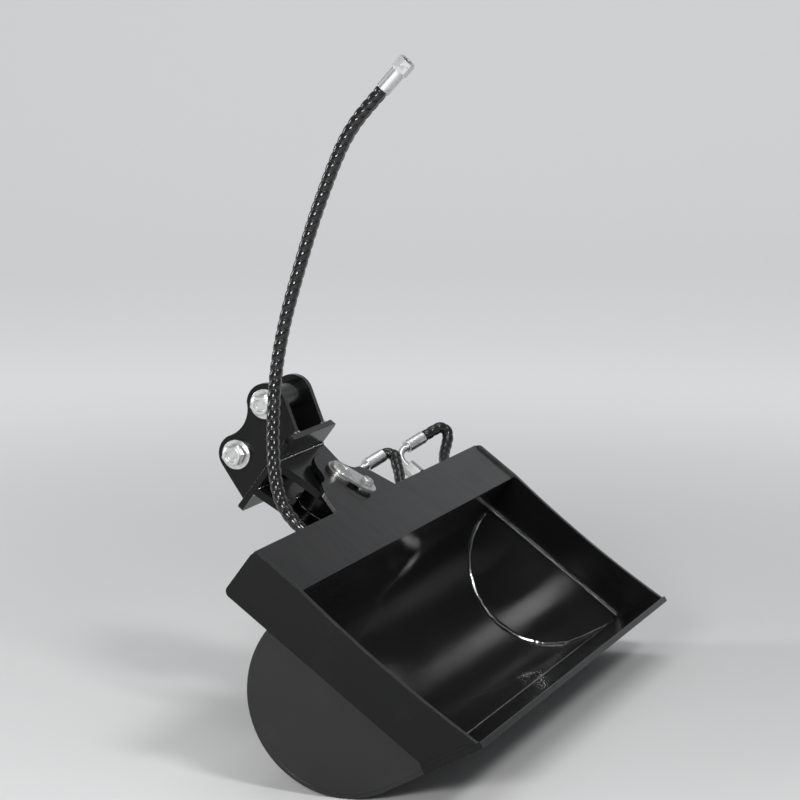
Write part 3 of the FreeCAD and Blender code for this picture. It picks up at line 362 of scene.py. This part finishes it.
# Each route runs from the upper end to the port, in shop drawing millimetres.
hoseRoutes = {
    "hose_a": [
        (-75, -545, 770), (-76, -515, 773), (-78, -484, 775), (-82, -448, 772), (-87, -412, 763),
        (-93, -370, 750), (-99, -328, 736), (-105, -283, 719), (-111, -238, 701), (-116, -191, 682),
        (-121, -146, 661), (-129, -102, 635), (-144, -60, 601), (-163, -24, 566), (-182, 6, 530),
        (-197, 28, 493), (-205, 34, 452), (-198, 34, 415), (-176, 33, 383), (-145, 31, 363),
        (-105, 29, 358), (-60, 27.5, 359), (-8, 27, 358), (45, 26.5, 359), (92, 26, 362),
        (121, 24, 370), (139, 21.5, 382.5), (153, 20.7, 396), (166, 20.7, 409.5), (180, 20.9, 423),
        (194, 20.3, 438.5), (210, 15.6, 450.4), (221, 13.3, 461.5), (231.5, 11.3, 470.6),
        (240.3, 8.8, 477.1), (243.1, 10.8, 486.2), (239.5, 15.8, 493.7), (232.9, 20.1, 495.0),
    ],
    "hose_b": [
        (-48.1, -535.6, 775.4), (-49.1, -505.6, 778.4), (-51.1, -474.6, 780.4), (-56.9, -439.3, 777),
        (-63.3, -403.8, 767.7), (-70.7, -362.2, 754.4), (-76.7, -320.2, 740.4), (-82.7, -275.2, 723.4),
        (-88.7, -230.2, 705.4), (-93.7, -183.2, 686.4), (-98.7, -138.2, 665.4), (-106.7, -94.2, 639.4),
        (-121.7, -52.2, 605.4), (-140.7, -16.2, 570.4), (-159.7, 13.8, 534.4), (-174.7, 35.8, 497.4),
        (-182.7, 41.8, 456.4), (-178, 46, 419), (-158, 50, 385), (-126, 52, 364), (-82, 52, 358),
        (-36, 51, 359), (14, 50, 358), (66, 49, 359), (118, 48, 358), (170, 47, 359), (220, 44, 358),
        (262, 38, 360), (298, 31, 367), (326, 26, 381), (350, 21.5, 397), (374, 21, 411),
        (393, 21, 425), (410, 20.5, 437), (428, 17, 447), (445, 12, 454.5), (458.5, 5, 461.5),
        (468.6, -2.9, 470.8), (469.1, -4.9, 480.6), (463.6, -2.5, 488.5), (435.5, 15.8, 493.7),
        (428.9, 20.1, 495.0),
    ],
}


# Points along a smooth spline that follows a route.
def splinePoints(name, points, look):
    curve = bpy.data.curves.new(name + "_line", "CURVE")
    curve.dimensions = "3D"
    spline = curve.splines.new("NURBS")
    spline.points.add(len(points) - 1)
    for knot, point in zip(spline.points, points):
        knot.co = (*place(*point), 1)
    spline.order_u = 3
    spline.use_endpoint_u = True
    spline.resolution_u = look["splineSteps"]
    holder = bpy.data.objects.new(name + "_line", curve)
    bpy.context.scene.collection.objects.link(holder)
    bpy.context.view_layer.update()
    line = bpy.data.meshes.new_from_object(holder)
    found = [vertex.co.copy() for vertex in line.vertices]
    bpy.data.objects.remove(holder)
    bpy.data.curves.remove(curve)
    bpy.data.meshes.remove(line)
    return found


# The same line with its points a step apart.
def evenPoints(points, step):
    lengths = [0.0]
    for before, after in zip(points, points[1:]):
        lengths.append(lengths[-1] + (after - before).length)
    count = round(lengths[-1] / step)
    spaced = []
    part = 0
    for number in range(count + 1):
        target = lengths[-1] * number / count
        while part < len(points) - 2 and lengths[part + 1] < target:
            part += 1
        run = lengths[part + 1] - lengths[part]
        share = (target - lengths[part]) / run if run else 0
        spaced.append(points[part].lerp(points[part + 1], min(max(share, 0), 1)))
    return spaced, lengths[-1]


# The spiral guard's radius at a share of its pitch: a barrel-shaped turn and a narrow groove.
def guardRadius(turn, look, crest):
    half = look["groove"] / 2
    away = min(turn, 1 - turn)
    if away < half:
        return look["bore"] / 2
    share = (away - half) / (0.5 - half)
    return look["shoulder"] / 2 + (crest - look["shoulder"]) / 2 * (1 - (1 - share) ** 2)


# How high a spot stands in the shop drawing, in millimetres.
def drawnHeight(spot):
    return (turnSin * spot.y + turnCos * spot.z) * 1000 + attitude["pinHeight"]


# The guard's radius on its crests at a spot: less where the hose lies in the channel.
def crestAt(spot, look):
    over = look["channelHeight"] + look["channelFade"] - drawnHeight(spot)
    sunk = min(1, max(0, over / look["channelFade"]))
    return look["crest"] + (look["channelCrest"] - look["crest"]) * sunk


# Rings of points round a line, each with the turns of the spiral that lie before it.
def guardRings(mesh, line, length, look):
    tangent = (line[1] - line[0]).normalized()
    side = tangent.orthogonal().normalized()
    rings = []
    for number, point in enumerate(line):
        ahead = line[min(number + 1, len(line) - 1)]
        behind = line[max(number - 1, 0)]
        fresh = (ahead - behind).normalized()
        side = (tangent.rotation_difference(fresh) @ side).normalized()
        side = (side - fresh * side.dot(fresh)).normalized()
        tangent = fresh
        other = tangent.cross(side)
        along = length * number / (len(line) - 1)
        fade = min(1, min(along, length - along) / look["endFade"])
        crest = crestAt(point, look)
        ring = []
        for corner in range(look["sides"]):
            angle = 2 * math.pi * corner / look["sides"]
            turn = (along / look["pitch"] + look["hand"] * corner / look["sides"]) % 1
            radius = look["bore"] / 2 + (guardRadius(turn, look, crest) - look["bore"] / 2) * fade
            way = side * math.cos(angle) + other * math.sin(angle)
            ring.append(mesh.verts.new(point + way * radius))
        rings.append((ring, along / look["pitch"]))
    return rings


# The hose in its spiral guard: one tube whose wall carries the turns of the strip.
def hoseMesh(name, points, look):
    line, length = evenPoints(points, look["step"])
    sides = look["sides"]
    mesh = bmesh.new()
    turns = mesh.loops.layers.uv.new("turns")
    rings = guardRings(mesh, line, length, look)
    for (first, start), (second, end) in zip(rings, rings[1:]):
        for corner in range(sides):
            after = (corner + 1) % sides
            face = mesh.faces.new((first[corner], first[after], second[after], second[corner]))
            face.smooth = True
            near = look["hand"] * corner / sides
            far = look["hand"] * (corner + 1) / sides
            spots = ((start + near, 0), (start + far, 0), (end + far, 1), (end + near, 1))
            for loop, spot in zip(face.loops, spots):
                loop[turns].uv = spot
    mesh.faces.new(list(reversed(rings[0][0])))
    mesh.faces.new(rings[-1][0])
    return addMesh(name, mesh, "hose_cover"), line, length


for name, route in hoseRoutes.items():
    points = splinePoints(name, list(reversed(route)), hoseLook)
    thing, line, length = hoseMesh(name + "_guarded", points, hoseLook)
    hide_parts(name)
    name + "_ferrule"
    name + "_nut"
    place(-170, 30, 618)
    place(-11, 30, 353)
    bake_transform(thing)
    print(f"{name}: {length * 1000:.0f} mm, {len(thing.data.polygons)} faces")


# The bucket's plates, in shop drawing millimetres, for the pieces that lie on them.
shell = {
    "left": -460, "right": 540, "wall": 6, "blade": 8, "endWall": 6, "endFront": 74, "endFoot": 84,
    "lipWall": 16, "lipDepth": 98, "floorAngle": 25, "rollBack": 88, "rollHeight": 202.06,
    "rollRadius": 145.94, "top": 348, "plateBack": 12, "rearPlate": 94, "rearPlateWall": 10,
    "rearPlateHalf": 118, "pivot": 488,
}
headstock = {
    "frontCheek": 19, "rearCheek": 75, "cheekWall": 12, "hub": 30, "flange": 560, "flangeTop": 570,
    "flangeHalf": 95, "earGap": 48, "earWall": 12, "earFront": -24, "earBack": 121,
}


# A spot a distance along the sloping floor and above it, back and up.
def onFloor(along, rise):
    lean = math.radians(shell["floorAngle"])
    return (along * math.cos(lean) - rise * math.sin(lean), along * math.sin(lean) + rise * math.cos(lean))


# Spots along an arc, back and up or across and up, between two angles in degrees.
def arcSpots(centre, radius, start, end, count):
    spots = []
    for number in range(count + 1):
        angle = math.radians(start + (end - start) * number / count)
        spots.append((centre[0] + radius * math.cos(angle), centre[1] + radius * math.sin(angle)))
    return spots


# Pin bolts

# In millimetres, with the pins' places back and up, and each ring's radius and depth in the dish.
boltLook = {
    "flats": 30, "head": 14, "seat": 11, "ear": 60, "crown": 13.4, "slope": 0.577, "dish": 9.6,
    "rings": ((9.0, 1.3), (6.2, 1.3), (5.8, 1.9), (1.6, 1.9)), "corner": -75, "segments": 48,
    "pins": ((-28.5, 637.5), (67, 627)),
}


# The head's outline in one direction, from its foot to the middle of its dish: radius and height.
def boltOutline(look, degrees):
    reach = look["flats"] / 2 / math.cos(math.radians((degrees - look["corner"]) % 60 - 30))
    tall = look["head"]
    shoulder = tall - (reach - look["crown"]) * look["slope"]
    outline = [(reach, 0), (reach, shoulder), (look["crown"], tall), (look["dish"], tall)]
    return outline + [(radius, tall - depth) for radius, depth in look["rings"]]


# A hexagon bolt head with turned corners and a ringed dish, on one end of a coupler pin.
def addBoltHead(mesh, look, end, back, up):
    face = look["ear"] + look["seat"]
    columns = []
    for number in range(look["segments"]):
        degrees = 360 * number / look["segments"]
        angle = math.radians(degrees)
        column = []
        for radius, height in boltOutline(look, degrees):
            spot = (end * (face + height), back + radius * math.cos(angle), up + radius * math.sin(angle))
            column.append(mesh.verts.new(place(*spot)))
        columns.append(column)
    loops = list(zip(*columns))
    for inner, outer in zip(loops[1:], loops):
        for number in range(look["segments"]):
            after = (number + 1) % look["segments"]
            mesh.faces.new((outer[number], outer[after], inner[after], inner[number]))
    mesh.faces.new(loops[0])
    mesh.faces.new(loops[-1])


def pinBolts(look):
    mesh = bmesh.new()
    for back, up in look["pins"]:
        for end in (-1, 1):
            addBoltHead(mesh, look, end, back, up)
    thing = addMesh("coupler_pin_bolts", mesh, "zinc_plate")
    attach(thing, "coupler")
    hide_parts("pin_end_bolts")
    print("pin bolts made")


pinBolts(boltLook)


# Cutting edge

# In millimetres; bevel and nose are those of the thicker lip that this one replaces.
lipLook = {"wall": 9.5, "break": 1.0, "proud": 0.3, "bevel": 22, "nose": 3}


# Adds a bar with the given outline, back and up, between two places along the bucket.
def addBar(mesh, outline, left, right):
    ends = [[mesh.verts.new(place(x, back, up)) for back, up in outline] for x in (left, right)]
    mesh.faces.new(ends[0])
    mesh.faces.new(list(reversed(ends[1])))
    for number in range(len(outline)):
        after = (number + 1) % len(outline)
        mesh.faces.new((ends[0][number], ends[1][number], ends[1][after], ends[0][after]))


# The lip is a flat bar with a blunt front, and stands up under the side blades and end plates.
def cuttingEdge(look):
    mesh = bmesh.new()
    wall = look["wall"]
    depth = shell["lipDepth"]
    flat = [onFloor(0, 0), onFloor(depth, 0), onFloor(depth, wall), onFloor(look["break"], wall),
            onFloor(0, wall - look["break"])]
    addBar(mesh, flat, shell["left"] - look["proud"], shell["right"] + look["proud"])
    thin = (wall - look["nose"]) / (shell["lipWall"] - look["nose"]) * look["bevel"]
    rise = [onFloor(thin, wall), onFloor(depth, wall), onFloor(depth, shell["lipWall"]),
            onFloor(look["bevel"], shell["lipWall"])]
    stand = [onFloor(shell["endFoot"], wall), onFloor(depth, wall), onFloor(depth, shell["lipWall"]),
             onFloor(shell["endFoot"], shell["lipWall"])]
    blade = shell["blade"]
    inner = blade + shell["endWall"]
    for outline, near, far in ((rise, 0, blade), (stand, blade, inner)):
        addBar(mesh, outline, shell["left"] + near, shell["left"] + far)
        addBar(mesh, outline, shell["right"] - far, shell["right"] - near)
    thing = addMesh("cutting_edge_bar", mesh, "black_paint")
    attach(thing, "bucket")
    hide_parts("cutting_edge")
    print("cutting edge made")


cuttingEdge(lipLook)


# Weld beads

# Each bead's ripples, in metres.
beads = {
    "heavy": {"Pitch": 0.0034, "Width": 0.0115, "Height": 0.0062, "Wander": 0.0030, "Seed": 7},
    "fillet": {"Pitch": 0.0026, "Width": 0.0080, "Height": 0.0046, "Wander": 0.0012, "Seed": 11},
    "light": {"Pitch": 0.0052, "Width": 0.0050, "Height": 0.0034, "Wander": 0.0016, "Seed": 5},
}
# How the beads sit against the plates, in millimetres, and how their lines and ripples are cut up.
weldLook = {
    "into": 1, "clear": 2, "sunk": 1.5, "toe": 0.5, "passes": ((-5, 0), (0, 1)), "shortEnd": 3,
    "pinRings": (17.2, 13.4), "edgeSteps": 40, "arcSteps": 60, "ringSteps": 48,
    "segments": 8, "rings": 6, "swayLow": 0.78, "swayHigh": 1.16, "overlap": 2.1, "wanderScale": 95.0,
}


# The bead round an end plate, seen from inside the bucket, and the two passes up its front edge.
def endPlateWelds(face, step, look):
    inner = shell["rollRadius"] - shell["wall"] - look["into"]
    centre = (shell["rollBack"], shell["rollHeight"])
    foot = onFloor(shell["lipDepth"], shell["wall"] + look["into"])
    around = [foot] + arcSpots(centre, inner, shell["floorAngle"] - 90, 90, look["arcSteps"])
    lean = math.radians(shell["floorAngle"])
    low = (shell["lipWall"] + shell["endFront"] * math.sin(lean)) / math.cos(lean) + look["clear"]
    high = shell["top"] - shell["wall"] - look["clear"]
    front = shell["endFront"] - look["sunk"]
    count = look["edgeSteps"]
    heights = [low + (high - low) * number / count for number in range(count + 1)]
    lines = [[(face + step, back, up) for back, up in around]]
    for inset, deeper in look["passes"]:
        lines.append([(face + inset * step, front + deeper, height) for height in heights])
    return lines


# A ring about the tilt pin.
def ringLine(radius, back):
    return [(x, back, z) for x, z in arcSpots((0, shell["pivot"]), radius, 0, 360, weldLook["ringSteps"])]


# A straight line across the bucket.
def across(left, right, back, up):
    return [(left, back, up), (right, back, up)]


# How far back a spot lies in the shop drawing, in millimetres.
def drawnBack(spot):
    return (turnCos * spot.y - turnSin * spot.z) * 1000 + attitude["pinBack"]


# The lines of the beads inside and on top of the bucket.
def bucketLines(look):
    toe = look["toe"]
    bladeLeft = shell["left"] + shell["blade"]
    bladeRight = shell["right"] - shell["blade"]
    endLeft = bladeLeft + shell["endWall"]
    endRight = bladeRight - shell["endWall"]
    half = shell["rearPlateHalf"]
    foot = shell["rearPlate"] + shell["rearPlateWall"]
    top = shell["top"]
    flag = nodes["pin_flag"]
    flagFace = min(drawnBack(flag.matrix_world @ vertex.co) for vertex in flag.data.vertices)
    ends = endPlateWelds(endLeft, 1, look) + endPlateWelds(endRight, -1, look)
    lipSpot = onFloor(shell["lipDepth"] + toe, lipLook["wall"] - toe)
    seams = [
        across(bladeLeft, bladeRight, shell["plateBack"] + toe, top + toe),
        across(-half, half, shell["rearPlate"] - toe, top),
        across(-half, half, foot + toe, top - look["into"]),
    ]
    return {
        "end_plate_welds": ("bucket", "heavy", "bead_paint", ends),
        "lip_weld": ("bucket", "light", "bead_paint", [across(endLeft, endRight, *lipSpot)]),
        "pin_weld": ("bucket", "light", "zinc_plate", [ringLine(ring, flagFace) for ring in look["pinRings"]]),
        "bucket_welds": ("bucket", "fillet", "bead_paint", seams),
    }


# The lines of the beads along the ears, along the cheeks and round the hub.
def headstockLines(look):
    toe = look["toe"]
    into = look["into"]
    high = headstock["flangeTop"] + toe
    low = headstock["flange"] - toe
    reach = headstock["flangeHalf"] - look["shortEnd"]
    front = headstock["earFront"] + into
    back = headstock["earBack"] - into
    ring = headstock["hub"] + into
    ears = [side * (headstock["earGap"] + wall) for side in (-1, 1)
            for wall in (-toe, headstock["earWall"] + toe)]
    cheeks = [headstock[cheek] + wall for cheek in ("frontCheek", "rearCheek")
              for wall in (-toe, headstock["cheekWall"] + toe)]
    lines = [[(x, front, high), (x, back, high)] for x in ears]
    lines += [across(-reach, reach, y, low) for y in cheeks]
    lines.append(ringLine(ring, headstock["frontCheek"] + headstock["cheekWall"] + toe))
    lines.append(ringLine(ring, headstock["rearCheek"] - toe))
    return {"headstock_welds": ("coupler", "fillet", "bead_paint", lines)}


# Geometry nodes that lay overlapping ripples along a line.
def weldTree(bead, look):
    tree = bpy.data.node_groups.new("weldBead", "GeometryNodeTree")
    face = tree.interface
    face.new_socket("Geometry", in_out="INPUT", socket_type="NodeSocketGeometry")
    for label in ("Pitch", "Width", "Height", "Wander"):
        socket = face.new_socket(label, in_out="INPUT", socket_type="NodeSocketFloat")
        socket.default_value = bead[label]
    face.new_socket("Seed", in_out="INPUT", socket_type="NodeSocketInt").default_value = bead["Seed"]
    face.new_socket("Finish", in_out="INPUT", socket_type="NodeSocketMaterial")
    face.new_socket("Geometry", in_out="OUTPUT", socket_type="NodeSocketGeometry")
    links = tree.links

    def add(kind, settings=None, values=None):
        item = tree.nodes.new(kind)
        for key, value in (settings or {}).items():
            setattr(item, key, value)
        for key, value in (values or {}).items():
            if hasattr(value, "is_linked"):
                links.new(value, item.inputs[key])
            else:
                item.inputs[key].default_value = value
        return item

    entry = add("NodeGroupInput")
    curve = add("GeometryNodeMeshToCurve", None, {"Mesh": entry.outputs["Geometry"]})
    spots = add("GeometryNodeCurveToPoints", {"mode": "LENGTH"}, {
        "Curve": curve.outputs["Curve"], "Length": entry.outputs["Pitch"]})
    here = add("GeometryNodeInputPosition")
    drift = add("ShaderNodeTexNoise", None, {
        "Vector": here.outputs[0], "Scale": look["wanderScale"], "Detail": 1.0})
    middle = add("ShaderNodeVectorMath", {"operation": "SUBTRACT"}, {
        0: drift.outputs["Color"], 1: (0.5, 0.5, 0.5)})
    shift = add("ShaderNodeVectorMath", {"operation": "SCALE"}, {
        0: middle.outputs[0], 3: entry.outputs["Wander"]})
    moved = add("GeometryNodeSetPosition", None, {
        "Geometry": spots.outputs["Points"], "Offset": shift.outputs[0]})
    ripple = add("GeometryNodeMeshUVSphere", None, {
        "Segments": look["segments"], "Rings": look["rings"], "Radius": 0.5})
    sway = add("FunctionNodeRandomValue", {"data_type": "FLOAT"}, {
        2: look["swayLow"], 3: look["swayHigh"], "Seed": entry.outputs["Seed"]})
    wide = add("ShaderNodeMath", {"operation": "MULTIPLY"}, {0: entry.outputs["Width"], 1: sway.outputs[1]})
    tall = add("ShaderNodeMath", {"operation": "MULTIPLY"}, {0: entry.outputs["Height"], 1: sway.outputs[1]})
    deep = add("ShaderNodeMath", {"operation": "MULTIPLY"}, {
        0: entry.outputs["Pitch"], 1: look["overlap"]})
    size = add("ShaderNodeCombineXYZ", None, {
        0: wide.outputs[0], 1: tall.outputs[0], 2: deep.outputs[0]})
    copies = add("GeometryNodeInstanceOnPoints", None, {
        "Points": moved.outputs["Geometry"], "Instance": ripple.outputs["Mesh"],
        "Rotation": spots.outputs["Rotation"], "Scale": size.outputs[0]})
    whole = add("GeometryNodeRealizeInstances", None, {"Geometry": copies.outputs["Instances"]})
    coat = add("GeometryNodeSetMaterial", None, {
        "Geometry": whole.outputs["Geometry"], "Material": entry.outputs["Finish"]})
    leave = add("NodeGroupOutput")
    links.new(coat.outputs["Geometry"], leave.inputs["Geometry"])
    return tree


# The paths as a mesh of edges only.
def lineMesh(name, paths):
    data = bpy.data.meshes.new(name)
    corners = []
    edges = []
    for path in paths:
        start = len(corners)
        corners += [place(*spot) for spot in path]
        edges += [(start + number, start + number + 1) for number in range(len(path) - 1)]
    data.from_pydata(corners, edges, [])
    thing = bpy.data.objects.new(name, data)
    bpy.context.scene.collection.objects.link(thing)
    return thing


# Runs the bead tree along the paths and keeps the result as a plain mesh on its body.
def layWelds(name, paths, body, tree, bead, finish):
    line = lineMesh(name + "_line", paths)
    modifier = line.modifiers.new("bead", "NODES")
    modifier.node_group = tree
    sockets = {item.name: item.identifier for item in tree.interface.items_tree if item.in_out == "INPUT"}
    for label, value in bead.items():
        modifier[sockets[label]] = value
    modifier[sockets["Finish"]] = finishes[finish]
    bpy.context.view_layer.update()
    graph = bpy.context.evaluated_depsgraph_get()
    data = bpy.data.meshes.new_from_object(line.evaluated_get(graph))
    line.modifiers.remove(modifier)
    bpy.data.objects.remove(line)
    thing = bpy.data.objects.new(name, data)
    bpy.context.scene.collection.objects.link(thing)
    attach(thing, body)
    print(f"{name}: {len(data.polygons)} faces")


beadTree = weldTree(beads["fillet"], weldLook)
weldPaths = {**bucketLines(weldLook), **headstockLines(weldLook)}
for name, (body, size, finish, paths) in weldPaths.items():
    layWelds(name, paths, body, beadTree, beads[size], finish)


# Floor, lights and camera

stageLook = {
    "floor": (0.66, 0.66, 0.66), "shade": 0.94, "clouds": 1.2, "cloudShare": 0.15, "roughness": 0.9,
    "heading": 20.2, "start": -9.0, "run": 7.0, "rise": 5.0, "bend": 2.4, "bendSteps": 16, "half": 9.0,
    "below": 0.001, "glow": 0.40, "glowTint": (0.97, 0.98, 1.0), "near": 0.9, "far": 4.0,
}


# A pale floor that curves up into a backdrop behind the bucket. Its glow, which grows away from the
# bucket, is seen by the camera and in metal and gloss, and lights nothing.
def makeStage(look, level):
    rim = [(look["start"], 0.0), (look["run"], 0.0)]
    for number in range(1, look["bendSteps"] + 1):
        angle = math.radians(90 * number / look["bendSteps"])
        rim.append((look["run"] + look["bend"] * math.sin(angle), look["bend"] * (1 - math.cos(angle))))
    rim.append((look["run"] + look["bend"], look["rise"]))
    heading = Matrix.Rotation(math.radians(look["heading"]), 3, "Z")
    corners = []
    for reach, up in rim:
        for side in (-look["half"], look["half"]):
            spot = heading @ Vector((reach, side, 0))
            corners.append((spot.x, spot.y, level + up))
    faces = [(2 * n, 2 * n + 1, 2 * n + 3, 2 * n + 2) for n in range(len(rim) - 1)]
    data = bpy.data.meshes.new("studio_floor")
    data.from_pydata(corners, [], faces)
    for face in data.polygons:
        face.use_smooth = True
    thing = bpy.data.objects.new("studio_floor", data)
    bpy.context.scene.collection.objects.link(thing)
    s = Shader("studio_floor")
    spot = s.node("ShaderNodeTexCoord")["Object"]
    cloud = s.noise(spot, look["clouds"], 3)
    darker = tuple(look["shade"] * level for level in look["floor"])
    shade = s.mix(cloud * look["cloudShare"], look["floor"], darker)
    way = s.node("ShaderNodeLightPath")
    seen = (way["Is Camera Ray"] + way["Is Glossy Ray"] + way["Is Transmission Ray"]).clamp()
    away = s.node("ShaderNodeVectorMath", {"operation": "LENGTH"}, {0: spot})["Value"]
    glow = seen * s.band(away, look["near"], look["far"]) * look["glow"]
    data.materials.append(s.finish(Base_Color=shade, Roughness=look["roughness"],
                                   Emission_Color=look["glowTint"], Emission_Strength=glow))


low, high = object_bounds()
makeStage(stageLook, low.z - stageLook["below"])
print("floor made")


# A soft rectangular lamp that faces its target.
def softbox(name, look):
    lamp = bpy.data.lights.new(name, "AREA")
    lamp.shape = "RECTANGLE"
    lamp.size = look["width"]
    lamp.size_y = look["height"]
    lamp.energy = look["power"]
    thing = bpy.data.objects.new(name, lamp)
    thing.location = look["spot"]
    way = Vector(look["target"]) - Vector(look["spot"])
    thing.rotation_euler = way.to_track_quat("-Z", "Y").to_euler()
    bpy.context.scene.collection.objects.link(thing)


softboxes = {
    "key": {"spot": (-2.0, -2.7, 3.0), "target": (0, -0.2, 0), "width": 0.9, "height": 0.9, "power": 75},
    "front": {"spot": (-3.33, -0.45, 0.93), "target": (0.3, -0.2, -0.47), "width": 1.0, "height": 0.5,
              "power": 62},
    "rim": {"spot": (-0.5, 3.2, 1.1), "target": (0, 0, 0), "width": 0.5, "height": 1.2, "power": 42},
    "top": {"spot": (0.4, -0.4, 3.4), "target": (0, -0.2, 0), "width": 2.4, "height": 1.6, "power": 30},
}
for name, look in softboxes.items():
    softbox(name, look)

skyLook = {"colour": (0.9, 0.92, 0.95), "light": 0.3, "seen": 0.72}


# An even pale sky that the camera sees brighter than it lights.
def makeSky(look):
    world = bpy.data.worlds.new("studio")
    bpy.context.scene.world = world
    world.use_nodes = True
    tree = world.node_tree
    sky = tree.nodes["Background"]
    sky.inputs["Color"].default_value = colour(look["colour"])
    way = tree.nodes.new("ShaderNodeLightPath")
    level = tree.nodes.new("ShaderNodeMapRange")
    level.inputs["To Min"].default_value = look["light"]
    level.inputs["To Max"].default_value = look["seen"]
    tree.links.new(way.outputs["Is Camera Ray"], level.inputs["Value"])
    tree.links.new(level.outputs["Result"], sky.inputs["Strength"])


makeSky(skyLook)
print("lights made")

viewpoint = {
    "spot": (-4.0539, -1.6922, 0.6577), "turn": (81.445, -0.054, -69.811), "lens": 126.0, "sensor": 36.0,
}
camera = bpy.data.cameras.new("camera")
camera.lens = viewpoint["lens"]
camera.sensor_width = viewpoint["sensor"]
cameraThing = bpy.data.objects.new("camera", camera)
cameraThing.location = viewpoint["spot"]
cameraThing.rotation_euler = [math.radians(angle) for angle in viewpoint["turn"]]
bpy.context.scene.collection.objects.link(cameraThing)
bpy.context.scene.camera = cameraThing
bpy.context.scene.view_settings.view_transform = "Standard"
